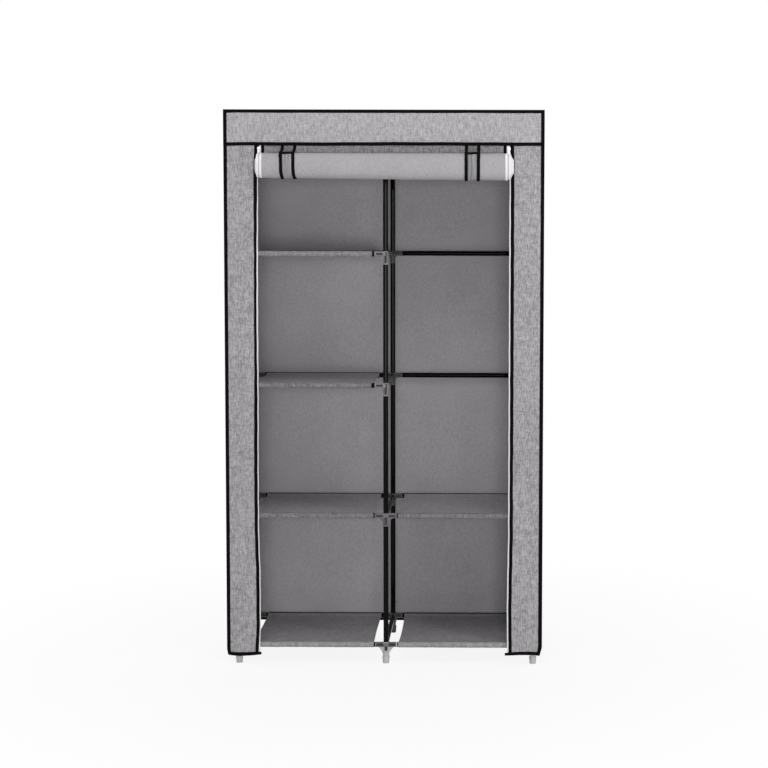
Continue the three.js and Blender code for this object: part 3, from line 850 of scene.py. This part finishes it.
STRIP_WIDTH = 102.5 * MM
BINDING_WIDTH = 9.5 * MM
HEADER_BINDING = 10.9 * MM
ZIP_BINDING = 10.7 * MM
SEAM_WIDTH = 11.6 * MM
STRIP_INNER = HALF_WIDTH - STRIP_WIDTH
TAPE_EDGE, LOWEST_TAPE_EDGE = STRIP_LOW[0] + 1.4 * MM, STRIP_LOW[0] + 2.2 * MM
TAPE_OVERLAP = 4 * MM
STRIP_FACE = DOOR_HIGH[1] - 1.2 * MM
HEADER_FACE = STRIP_FACE - 1.1 * MM
BACK_FACE = BACK_HIGH[1] - 1 * MM
TOP_EDGE = COVER_HIGH[2] - 1.5 * MM
HEM_LIFT = STRIP_LOW[2]
CLOTH_INSET = 0.6 * MM
TOP_PLANE = TOP_EDGE - BINDING_WIDTH + CLOTH_INSET
SIDE_PLANE = HALF_WIDTH - BINDING_WIDTH
CORNER_INSET = 1.5 * MM
EDGE_INSET = 3 * MM

# The waves of each cloth: their height, their length and their seed

HEADER_WAVE = (1.6 * MM, 0.22, 3)
TOP_WAVE = (1 * MM, 0.25, 5)
STRIP_WAVE = (1.5 * MM, 0.2, 11)
SIDE_WAVE = (1.3 * MM, 0.35, 21)
BACK_WAVE = (1.2 * MM, 0.4, 31)
DOOR_WAVE = (0.9 * MM, 0.11, 61)

# Tables by place; those of the strips are by side, right as 1 and left as -1, and in millimetres or shares

HEADER_SAG = (
    (-0.5, 0.0), (-0.469, 0.1), (-0.428, 1.2), (-0.343, 0.7), (-0.2, 0.3), (0, 1.6), (0.18, 1.8), (0.46, 1.2),
)
ZIP_WAVES = {
    1: ((0.03, 4.0), (0.08, 4.0), (0.154, 5.4), (0.268, 4.3), (0.31, 3.5), (0.4, 1.9), (1.58, 1.7),
        (1.62, 3.6)),
    -1: ((0.03, -4.0), (0.053, -2.8), (0.09, 0.0), (0.13, 1.1), (0.3, 0.9), (0.35, -1.0), (0.43, -2.8),
         (0.68, -3.0), (0.745, -2.2), (0.9, -1.5), (1.12, -2.0), (1.19, -1.3), (1.31, -0.8), (1.5, 0.5),
         (1.58, 1.4), (1.61, 5.6)),
}
BINDING_SHARES = {
    1: ((0.3, 1.0), (0.36, 1.05), (1.57, 1.05), (1.61, 1.25)),
    -1: ((0.3, 1.0), (0.7, 1.05), (0.85, 1.0), (0.95, 0.86), (1.1, 0.78), (1.3, 0.82), (1.45, 1.0),
         (1.52, 1.15), (1.57, 1.15), (1.61, 1.45)),
}
HEM_HEIGHTS = {
    1: (((0, 36.0), (0.35, 37.4), (0.6, 36.8), (1, 33.5)), 0.1),
    -1: (((0, 33.5), (0.15, 31.5), (0.4, 31.0), (0.7, 32.5), (1, 34.5)), 0.08),
}
HEM_SHARES = ((0, 0.92), (0.3, 1.04), (0.7, 1.0), (0.95, 0.8), (1, 0.7))
HEM_ENDS = {1: 382 * MM, -1: -390.5 * MM}
CORNER_PULLS = {1: (7 * MM, 36 * MM), -1: (3 * MM, 25 * MM)}


def waves(a, b, kind, side=0):
    """How far a cloth stands off its plane; the two cloths of a pair have seeds of their own."""
    height, length, seed = kind
    return height * ripple(a, b, length, seed + side)


def header_edge(x):
    """How far above its plain height the header's lower edge hangs."""
    return MM * between(x, HEADER_SAG, 0.03) + 0.25 * MM * np.sin(x * 41.0)


def zip_wave(side, z):
    """How far a strip's inner edge strays towards the middle at a height."""
    return MM * (between(z, ZIP_WAVES[side], 0.02) + 0.3 * np.sin(z * 70 + side))


def outer_edge(side, z):
    """How far a strip's outer edge is pulled in near the hem."""
    reach, tall = CORNER_PULLS[side]
    return reach * smooth((HEM_LIFT + tall - z) / tall) ** 1.5


def lined(side):
    """The cloth's materials, outside and lining, in the order that its side needs."""
    return [LINEN, LINING] if side > 0 else [LINING, LINEN]


def add_binding(name, path, across, out, node, width=BINDING_WIDTH, shares=1.0):
    """Binding tape along a path, with a row of stitches near its inner edge on both faces.

    shares gives how much of its width shows at each point of the path.
    """
    across, out = np.asarray(across), np.asarray(out)
    rings = swept(path, across, out, flat_section(width, BINDING_THICKNESS), shares)
    pieces = [shell(name, rings, BINDING, "black_binding", node=node)]
    for label, face in (("face", 1), ("back", -1)):
        row = path + across * width * 0.3 + out * face * BINDING_THICKNESS / 2
        seam = f"{name}_stitch_{label}"
        pieces.append(beads(seam, row, COVER_STITCH, across, out, THREAD, "black_binding", node=node))
    return pieces


def add_header():
    node = "cover_top_and_header"
    inner = HALF_WIDTH - BINDING_WIDTH * 0.6
    low_z, high_z = HEADER_BOTTOM + EDGE_INSET, TOP_EDGE - EDGE_INSET

    def surface(u, v):
        x = lerp(-inner, inner, u)
        z = lerp(low_z, high_z, v) + header_edge(x) * (1 - v)
        hold = arch(v, 0.5) * smooth(np.minimum(u, 1 - u) / 0.035)
        return np.stack([x, HEADER_FACE - hold * np.abs(waves(x, z, HEADER_WAVE)), z], -1)

    piece = cloth("header_cloth", surface, 150, 24, [LIT_HEADER_LINEN, LINING], "cover_fabric", node=node)
    edge = line((-SIDE_PLANE, HEADER_FACE, TOP_EDGE - HEADER_BINDING / 2),
                (SIDE_PLANE, HEADER_FACE, TOP_EDGE - HEADER_BINDING / 2), 120)
    hem = edge.copy()
    hem[:, 2] = HEADER_BOTTOM + HEADER_BINDING / 2 + header_edge(edge[:, 0])
    trims = add_binding("header_hem", hem, UP, FRONT, node, HEADER_BINDING)
    trims += add_binding("header_top_seam", edge, -UP, FRONT, node, HEADER_BINDING)
    for name, side in SIDES:
        x = side * (HALF_WIDTH - SEAM_WIDTH / 2)
        upright = line((x, HEADER_FACE, HEADER_BOTTOM - 1 * MM), (x, HEADER_FACE, TOP_EDGE), 24)
        trims += add_binding(f"header_seam_{name}", upright, -RIGHT * side, FRONT, node, SEAM_WIDTH)


def add_top():
    node = "cover_top_and_header"
    front_y, back_y = HEADER_FACE + CORNER_INSET, BACK_FACE - CORNER_INSET
    half = SIDE_PLANE - 1 * MM

    def surface(u, v):
        x, y = lerp(-half, half, u), lerp(front_y, back_y, v)
        hold = arch(u) * arch(v)
        posts = sum(bell(np.hypot(x - px, y - py), 0.05) for px in COLUMNS.values() for py in ROWS.values())
        dip = 7 * MM * hold**0.5 * (1 - np.clip(posts, 0, 1)) + waves(x, y, TOP_WAVE) * hold
        return np.stack([x, y, TOP_PLANE - np.clip(dip, 0, None) + 0.3 * MM], -1)

    piece = cloth("top_cloth", surface, 120, 60, [LINEN, LINING], "cover_fabric", node=node)
    z = TOP_EDGE - BINDING_WIDTH / 2
    rim = line((-half, BACK_FACE - 1 * MM, z), (half, BACK_FACE - 1 * MM, z))
    trims = add_binding("top_back_seam", rim, -UP, -FRONT, node)
    for name, side in SIDES:
        x = side * (SIDE_PLANE - 1.4 * MM)
        rim = line((x, front_y, z), (x, back_y, z))
        trims += add_binding(f"top_side_seam_{name}", rim, -UP, RIGHT * side, node)


def add_strip(name, side):
    node = f"cover_strip_{name}"
    top = STRIP_HIGH[2] - 0.5 * MM

    def surface(u, v):
        z = lerp(HEM_LIFT + EDGE_INSET, top, v)
        first = HALF_WIDTH - SEAM_WIDTH * 0.6 - outer_edge(side, z)
        x = lerp(first, STRIP_INNER + EDGE_INSET - zip_wave(side, z), u)
        hold = arch(u, 0.5) * smooth((top - z) / 0.05)
        y = STRIP_FACE + CLOTH_INSET - hold * np.abs(waves(x, z * 0.6, STRIP_WAVE, side))
        return np.stack([side * x, y, z], -1)

    piece = cloth(f"strip_cloth_{name}", surface, 20, 220, lined(-side), "cover_fabric", node=node)
    face_y = STRIP_FACE + 0.4 * MM
    z = np.linspace(HEM_LIFT + 2 * MM, HEADER_BOTTOM + 6 * MM, 241)
    seam = SEAM_WIDTH + (1.0 * MM * smooth((1.4 - z) / 1.2) if side > 0 else 0 * z)
    outer_x = HALF_WIDTH - seam / 2 - outer_edge(side, z)
    inner_x = STRIP_INNER + ZIP_BINDING / 2 - zip_wave(side, z) - (1.2 * MM if side < 0 else 0)
    outer, inner = (np.stack([side * x, np.full(len(z), face_y), z], 1) for x in (outer_x, inner_x))
    shares = seam / SEAM_WIDTH
    trims = add_binding(f"strip_seam_{name}", outer, -RIGHT * side, FRONT, node, SEAM_WIDTH, shares)
    shares = between(z, BINDING_SHARES[side], 0.03)
    trims += add_binding(f"strip_zip_binding_{name}", inner, RIGHT * side, FRONT, node, ZIP_BINDING, shares)
    hem_start = side * (HALF_WIDTH - outer_edge(side, HEM_LIFT) - 3 * MM)
    hem = line((hem_start, face_y - 0.3 * MM, 0), (HEM_ENDS[side], face_y - 0.3 * MM, 0), 39)
    share = (hem[:, 0] - hem_start) / (HEM_ENDS[side] - hem_start)
    hem[:, 2] = between(share, *HEM_HEIGHTS[side]) * MM
    shares = between(share, HEM_SHARES, 0.05)
    trims += add_binding(f"strip_hem_{name}", hem, UP, FRONT, node, SEAM_WIDTH, shares)
    trims += add_zip_tape(name, side, z, node)


def add_zip_tape(name, side, z, node):
    """The white tape that shows beside the strip's binding, with its coil of teeth along the edge.

    Near the hem its edge stays within the slider's reach.
    """
    outer = STRIP_INNER + TAPE_OVERLAP - zip_wave(side, z)
    free_edge = TAPE_EDGE - zip_wave(side, z)
    edge = np.minimum(free_edge, lerp(LOWEST_TAPE_EDGE, free_edge, smooth((z - 60 * MM) / (60 * MM))))
    tape = np.stack([side * (outer + edge) / 2, np.full(len(z), STRIP_FACE + 0.9 * MM), z], 1)
    width = STRIP_INNER + TAPE_OVERLAP - TAPE_EDGE
    rings = swept(tape, RIGHT, FRONT, flat_section(width, 0.9 * MM), (outer - edge) / width)
    piece = shell(f"zip_tape_{name}", rings, TAPE, "white_tape", node=node)
    tape[:, 0] = side * (edge + 0.9 * MM)
    return [piece, beads(f"zip_coil_{name}", tape, ZIP_TEETH, RIGHT, FRONT, TAPE, "white_tape", node=node)]


def add_side(name, side):
    node = f"cover_side_{name}"
    hem = low_high(node)[0][2]
    front_y, back_y = STRIP_FACE + CORNER_INSET, BACK_FACE - CORNER_INSET

    def surface(u, v):
        y, z = lerp(front_y, back_y, u), lerp(hem + EDGE_INSET, TOP_PLANE, v)
        hold = arch(u, 0.6)
        push = sum(bell(y - py, 0.03) for py in ROWS.values())
        inward = 3.5 * MM * (1 - np.clip(push, 0, 1)) - waves(y, z * 0.5, SIDE_WAVE, side)
        x = SIDE_PLANE - CLOTH_INSET - hold * inward
        return np.stack([side * np.minimum(x, SIDE_PLANE + 1.5 * MM), y, z], -1)

    piece = cloth(f"side_cloth_{name}", surface, 50, 170, lined(side), "cover_fabric", node=node)
    x, z = side * (SIDE_PLANE - CLOTH_INSET), hem + BINDING_WIDTH / 2
    trims = add_binding(f"side_hem_{name}", line((x, front_y, z), (x, back_y, z)), UP, RIGHT * side, node)


def add_back():
    node = "cover_back"
    half = HALF_WIDTH - SEAM_WIDTH * 0.6
    hem, y = BACK_LOW[2], BACK_FACE - CLOTH_INSET

    def surface(u, v):
        x, z = lerp(half, -half, u), lerp(hem + EDGE_INSET, TOP_PLANE, v)
        press = sum(bell(z - tube_z, 0.05) for tube_z in TIERS.values())
        inward = 2.5 * MM * (1 - 0.6 * np.clip(press, 0, 1)) - waves(x, z, BACK_WAVE)
        return np.stack([x, y - arch(u, 0.5) * inward, z], -1)

    piece = cloth("back_cloth", surface, 120, 170, [LINEN, LINING], "cover_fabric", node=node)
    trims = []
    for name, side in SIDES:
        x = side * (HALF_WIDTH - SEAM_WIDTH / 2)
        upright = line((x, y, hem + 2 * MM), (x, y, TOP_EDGE - 0.5 * MM))
        trims += add_binding(f"back_seam_{name}", upright, -RIGHT * side, -FRONT, node, SEAM_WIDTH)
    z = hem + BINDING_WIDTH / 2
    trims += add_binding("back_hem", line((-half, y, z), (half, y, z)), UP, -FRONT, node)


# Door: the part that hangs behind the header, and the roll in front of it

ROLL_CENTRE = middle("door_roll")
ROLL_DEPTH, ROLL_HEIGHT = 56 * MM, 87 * MM
ROLL_PITCH, ROLL_TURNS = 2.48 * MM, 10.3
CREEP_TURNS = 8.8
ROLL_EDGES = {1: (384.8, 394.3, 404.0), -1: (380.3, 389.6, 396.2)}
ROLL_LIFT = ((-0.38, 7.2), (-0.3, 6.6), (-0.2, 6.0), (-0.1, 4.6), (0.13, 2.2), (0.36, 1.0))
ROLL_TAPE, ROLL_TAPE_THICKNESS = 6.2 * MM, 1.3 * MM
SQUARENESS = 2.5
KNEE_TOP, KNEE_BOTTOM = HEADER_BOTTOM - 31 * MM, DOOR_LOW[2]
KNEE_LEAN = 12.6 * MM
DOOR_BINDING = 10.3 * MM
DOOR_BINDING_EDGE = DOOR_EDGE - 7.6 * MM
DOOR_TAPE = 9 * MM


def door_y(z, offset=0.0):
    """The door's face behind the header and where it leans out to the roll."""
    lean = smooth((KNEE_TOP - z) / (KNEE_TOP - KNEE_BOTTOM))
    return STRIP_FACE + CLOTH_INSET - lean * KNEE_LEAN + offset


def squarish(value, power):
    """A sine or cosine drawn out towards a square's corner."""
    return np.sign(value) * np.abs(value) ** power


def roll_point(turns, inset, x=0.4):
    """A point of the roll's squarish oval, in depth and height, going down from its back.

    The underside is drawn up by a height that depends on the place across.
    """
    angle = -2 * math.pi * turns
    y = (ROLL_DEPTH / 2 - inset) * squarish(np.cos(angle), 2 / SQUARENESS)
    z = (ROLL_HEIGHT / 2 - inset) * squarish(np.sin(angle), 2 / SQUARENESS)
    lift = MM * between(x, ROLL_LIFT, 0.04)
    return ROLL_CENTRE[1] + y, ROLL_CENTRE[2] + np.where(z < 0, z * (1 - lift / (ROLL_HEIGHT / 2)), z)


def roll_place(turns, x=0.4):
    """A place in the winding some turns in: its depth and height."""
    return roll_point(turns, 0.6 * MM + ROLL_PITCH * turns, x)


def edge_of_roll(side, turns):
    """How far out the cloth's edge is: the inner turns have crept out, into the shape of a pointed dome."""
    outer, second, last = ROLL_EDGES[side]
    crept = lerp(second, last, np.clip(turns / CREEP_TURNS, 0, 1) ** 1.8)
    return MM * lerp(outer, crept, smooth((turns - 0.72) / 0.25))


def add_roll():
    def band(first_side, first_inset, second_side, second_inset):
        def surface(u, v):
            turns = v * ROLL_TURNS
            left = first_side * (edge_of_roll(first_side, turns) - first_inset)
            right = second_side * (edge_of_roll(second_side, turns) - second_inset)
            x = lerp(left, right, u)
            y, z = roll_place(turns, x)
            soft = 0.45 * MM * ripple(x, v * 1.6, 0.09, 41) + 0.5 * MM * ripple(x, v * 0.2, 0.3, 43)
            crease = 0.9 * MM * ripple(x * 0.4, v * 1.6, 0.02, 47) * bell(x + 0.345, 0.045)
            outer_turn = smooth(turns / 0.15) * smooth((0.92 - turns) / 0.1)
            soft = np.where(turns < 0.9, soft + crease, 0) * outer_turn
            outward = unit(np.stack([0 * y, y - ROLL_CENTRE[1], z - ROLL_CENTRE[2]], -1))
            return np.stack([x, y, z], -1) - outward * np.abs(soft)[..., None]

        return surface

    rows = round(ROLL_TURNS * 36)
    facts = {"node": "door_roll", "body": ROLL}
    whole = band(-1, ROLL_TAPE, 1, ROLL_TAPE)
    piece = cloth("roll_cloth", whole, 120, rows, [ROLL_LINING, SHADED_DOOR_LINEN], "door_lining", **facts)
    trims = []
    for name, side in SIDES:
        edges = [(side, 0), (side, ROLL_TAPE + 1 * MM)][::-side]
        tape = cloth(f"roll_tape_{name}", band(*edges[0], *edges[1]), 3, rows, [TAPE, TAPE], "white_tape",
                     ROLL_TAPE_THICKNESS, **facts)
        trims.append(tape)
    for p in [piece, *trims]:
        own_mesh(p)


def add_door():
    top = HEADER_BOTTOM + 13 * MM
    facts = {"node": "door_panel", "body": None}
    half = DOOR_BINDING_EDGE - EDGE_INSET

    def surface(u, v):
        x, z = lerp(-half, half, u), lerp(KNEE_BOTTOM, top, v)
        hold = smooth((top - z) / 0.03)
        return np.stack([x, door_y(z) + hold * waves(x, z * 0.5, DOOR_WAVE), z], -1)

    piece = cloth("door_cloth", surface, 160, 40, [SHADED_DOOR_LINEN, LINING], "door_lining", **facts)
    path = line((0, 0, KNEE_BOTTOM + 1 * MM), (0, 0, top), 40)
    path[:, 1] = door_y(path[:, 2])
    trims = []
    for name, side in SIDES:
        for kind, edge, width, thickness, material, slot in (
            ("binding", DOOR_BINDING_EDGE, DOOR_BINDING, BINDING_THICKNESS, BINDING, "black_binding"),
            ("tape", DOOR_EDGE, DOOR_TAPE, 1 * MM, TAPE, "white_tape"),
        ):
            shifted = path + RIGHT * side * (edge - width / 2)
            rings = swept(shifted, RIGHT, FRONT, flat_section(width, thickness))
            trims.append(shell(f"door_{kind}_{name}", rings, material, slot, **facts))
        coil = path + RIGHT * side * (DOOR_EDGE - 0.9 * MM)
        trims.append(beads(f"door_coil_{name}", coil, ZIP_TEETH, RIGHT, FRONT, TAPE, "white_tape", **facts))
    for p in [piece, *trims]:
        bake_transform(p)


# Tie straps: behind the door, under the roll, up its front and to the header

STRAP_WIDTH, TAB_WIDTH = 47.6 * MM, 48.2 * MM
STRAP_EDGE = 10.4 * MM
STRAP_TOP, STRAP_TURN = HEADER_BOTTOM + 12 * MM, KNEE_BOTTOM + 10 * MM
STRAP_END, TAB_START, TAB_END = 0.655, 0.735, 0.59
STRAP_GAP, TAB_GAP, DOOR_GAP = 1.1 * MM, 1.3 * MM, 2.2 * MM
STRAP_RISE, RISE_START, RISE_REACH = 2.2 * MM, 0.56, 0.05
STRAP_THICKNESS, STRAP_EDGE_THICKNESS = 1.2 * MM, 2.2 * MM
END_BAR = (10.5 * MM, 4.6 * MM)
STRAP_PLACES = {
    "left": ((0, -291.0), (0.25, -290.6), (0.33, -291.4), (0.45, -294.0), (0.66, -294.8)),
    "right": ((0, 276.5), (0.25, 275.6), (0.45, 275.9), (0.66, 275.6)),
}
TAB_PLACES = {"left": -296.2 * MM, "right": 276.2 * MM}


def strap_line(places):
    """The strap's middle line: down behind the door, under the roll and up to its end on top of the tab."""
    points = []
    for z in np.linspace(STRAP_TOP, STRAP_TURN, 12):
        points.append((MM * between(0, places), door_y(z, DOOR_GAP), z))
    for share in np.linspace(0, STRAP_END, 71):
        x = MM * between(share, places, 0.02)
        rise = STRAP_RISE * smooth((share - RISE_START) / RISE_REACH)
        points.append((x, *roll_point(share, -STRAP_GAP - rise, x)))
    return np.array(points, float)


def tab_line(x):
    """The tab's middle line: from behind the header's hem down and over the roll, under the strap's end."""
    start = np.array((x, HEADER_FACE + 2.2 * MM, HEADER_BOTTOM + 8 * MM))
    goal = np.array((x, *roll_point(TAB_START + 0.01, -TAB_GAP, x)))
    bend = np.array((x, start[1] - 2 * MM, goal[2] + 5 * MM))
    over = [(x, *roll_point(share, -TAB_GAP, x)) for share in np.linspace(TAB_START, TAB_END, 19)]
    return np.concatenate([curve(start, bend, goal, 17), over])


def fold_away(pieces):
    """Gives each of a strap's pieces a mesh of its own."""
    for piece in pieces:
        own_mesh(piece)


def add_webbing(name, path, width, node, material):
    """A grey band with black edges along a path across X, and the pieces that it is made of."""
    out = unit(np.cross(unit(np.gradient(path, axis=0)), RIGHT))
    if out[0][1] < 0:
        out = -out
    web = width - STRAP_EDGE
    rings = swept(path, RIGHT, out, flat_section(web, STRAP_THICKNESS))
    pieces = [shell(f"{name}_web", rings, material, "strap_webbing", node=node)]
    facts = {"slot": "black_binding", "node": node}
    for label, side in SIDES:
        shifted = path + RIGHT * side * web / 2
        rings = swept(shifted, RIGHT, out, flat_section(STRAP_EDGE, STRAP_EDGE_THICKNESS))
        pieces.append(shell(f"{name}_edge_{label}", rings, BINDING, **facts))
        for row, gap in (("inner", -0.33), ("outer", 0.36)):
            for face, sign in (("face", 1), ("back", -1)):
                seam = shifted - RIGHT * side * gap * STRAP_EDGE + out * sign * STRAP_EDGE_THICKNESS / 2
                stitch = f"{name}_stitch_{label}_{row}_{face}"
                pieces.append(beads(stitch, seam, STRAP_STITCH, RIGHT, UP, THREAD, **facts))
    fold_away(pieces)
    return pieces


def add_strap(name):
    node = f"tie_strap_{name}"
    path = strap_line(STRAP_PLACES[name])
    pieces = add_webbing(f"strap_{name}", path, STRAP_WIDTH, node, STRAP)
    ahead, reach = unit(path[-1] - path[-2]), RIGHT * (STRAP_WIDTH - 2 * MM) / 2
    wave = 0.7 * MM * np.cos(np.linspace(0, 9, 13))[:, None]
    end = line(path[-1] - reach, path[-1] + reach, 12) + ahead * wave
    rings = swept(end, ahead, np.cross(RIGHT, ahead), flat_section(*END_BAR))
    bound = shell(f"strap_end_{name}", rings, BINDING, "black_binding", node=node)
    fold_away([bound])

    path = tab_line(TAB_PLACES[name])
    tab = add_webbing(f"strap_tab_{name}", path, TAB_WIDTH, node, SHADED_TAB_WEB)


# Zip sliders and pull tabs

SLIDER_HALF = 4.2 * MM
SLIDER_SHIFT = 0.9 * MM
FRONT_PLATE, BACK_PLATE, BACK_SHARE = 1.8 * MM, 1.5 * MM, 0.94
SLIDER_WEB = np.array([(0.5, 0), (0, 5.4), (-0.5, 0), (0, -5.4)]) * MM
BRIDGE_DEPTH = 4.1 * MM
BRIDGE_SINK, BRIDGE_RISE, BRIDGE_HALF = 0.6 * MM, 3.9 * MM, 3.4 * MM
BRIDGE_SECTION = (2.6 * MM, 1.0 * MM)
TAB_HALF = 3.3 * MM
TAB_THICKNESS = 1.2 * MM
TAB_EASE = 0.2 * MM
WINDOW, WINDOW_DROP = np.array((2.0 * MM, 2.5 * MM)), 3.6 * MM
HOLE, HOLE_RISE = np.array((1.2 * MM, 1.2 * MM)), 4.2 * MM
TAB_SPLIT = 0.4 * MM


def plate_between(outline, front_y, back_y, ease=0.3 * MM):
    """The rings of a flat plate with eased edges; outline has its points across and up, round its middle."""
    pulled = outline - unit(outline) * ease
    rings = []
    front, back = front_y + ease, back_y - ease
    for y, shape in ((front_y, pulled), (front, outline), (back, outline), (back_y, pulled)):
        rings.append(np.stack([shape[:, 0], np.full(len(shape), y), shape[:, 1]], 1))
    return np.array(rings)


def shield(half, height):
    """A slider's outline: broad rounded shoulders above, drawn in towards its lower end."""
    c, s = circle(28)
    z = height / 2 * squarish(s, 0.8)
    return np.stack([half * squarish(c, 0.75) * (1 - 0.22 * smooth(0.5 - z / height)), z], 1)


def add_slider(name, side):
    node = f"zip_slider_{name}"
    low, high = low_high(node)
    z, height = (low[2] + high[2]) / 2, high[2] - low[2]
    centre = np.array((side * ((abs(low[0]) + abs(high[0])) / 2 - SLIDER_SHIFT), 0, z))
    face_y, back_y = low[1] + BRIDGE_DEPTH, high[1]
    front = plate_between(shield(SLIDER_HALF, height), face_y, face_y + FRONT_PLATE)
    back_outline = shield(SLIDER_HALF * BACK_SHARE, height * BACK_SHARE)
    back = plate_between(back_outline, back_y - BACK_PLATE, back_y)
    web = plate_between(SLIDER_WEB, face_y + 1 * MM, back_y - 1 * MM, 0.05 * MM)
    parts = Parts()
    for rings in (front, back, web):
        parts.add(rings + centre)
    angles = np.linspace(0, math.pi, 15)
    bridge_y = face_y + BRIDGE_SINK - BRIDGE_RISE * np.sin(angles) ** 0.7
    bridge = np.stack([np.full(15, centre[0]), bridge_y, z + BRIDGE_HALF * np.cos(angles)], 1)
    ahead = unit(np.gradient(bridge, axis=0))
    parts.add(swept(bridge, RIGHT, np.cross(ahead, RIGHT), flat_section(*BRIDGE_SECTION)))
    parts.piece(f"slider_body_{name}", "zip_metal", ZIP, body=f"slider_{name}", node=node)
    return centre[0]


def add_pull_tab(name, x):
    """A pull tab with a window for the slider's bridge, a waist, and a broad round end with a small hole."""
    node = f"zip_tab_{name}"
    low, high = low_high(node)
    centre = middle(node)
    half_height = (high[2] - low[2]) / 2
    front_y, back_y = centre[1] - TAB_THICKNESS / 2, centre[1] + TAB_THICKNESS / 2
    c, s = circle(40)
    z = half_height * squarish(s, 0.7)
    waist = 1 - 0.28 * bell(z - 1.5 * MM, 2.6 * MM)
    outline = np.stack([TAB_HALF * squarish(c, 0.7) * waist, z], 1)
    right_half = outline[c > 0]
    order = np.argsort(right_half[:, 1])
    split_half = np.interp(TAB_SPLIT, right_half[order, 1], right_half[order, 0])
    round_points = np.stack([c, s], 1)
    window = round_points * WINDOW + (0, half_height - WINDOW_DROP)
    hole = round_points * HOLE + (0, HOLE_RISE - half_height)
    parts = Parts()
    for opening, past in ((window, outline[:, 1] < TAB_SPLIT), (hole, outline[:, 1] > TAB_SPLIT)):
        rim = outline.copy()
        rim[past, 0] = np.clip(rim[past, 0], -split_half, split_half)
        rim[past, 1] = TAB_SPLIT
        core = opening.mean(0)
        pulled, eased = core + (rim - core) * 0.95, core + (opening - core) * 1.12
        front, back = front_y + TAB_EASE, back_y - TAB_EASE
        shapes = ((front_y, eased), (front_y, pulled), (front, rim), (back, rim),
                  (back_y, pulled), (back_y, eased), (back, opening), (front, opening))
        parts.add([np.stack([x + shape[:, 0], np.full(len(shape), y), centre[2] + shape[:, 1]], 1)
                   for y, shape in shapes], closed=True)
    parts.piece(f"pull_tab_{name}", "zip_metal", ZIP, body=f"tab_{name}", node=node)


# Assembly

set_camera()
set_stage()
set_light()

for row_name in ROWS:
    for column_name in COLUMNS:
        add_post(row_name, column_name)
for tube_node in sorted(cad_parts):
    if "_tube_" in tube_node:
        add_tube(tube_node)
add_rail()
shelf_seed = 100
for bay_name, tiers in SHELF_TIERS.items():
    for shelf_tier in tiers:
        add_shelf(bay_name, shelf_tier, shelf_seed)
        shelf_seed += 10
add_top()
add_header()
add_back()
for side_name, sign in SIDES:
    add_side(side_name, sign)
    add_strip(side_name, sign)
    add_pull_tab(side_name, add_slider(side_name, sign))
add_door()
for side_name, sign in SIDES:
    add_strap(side_name)
add_roll()

bpy.context.scene.view_settings.view_transform = "Standard"
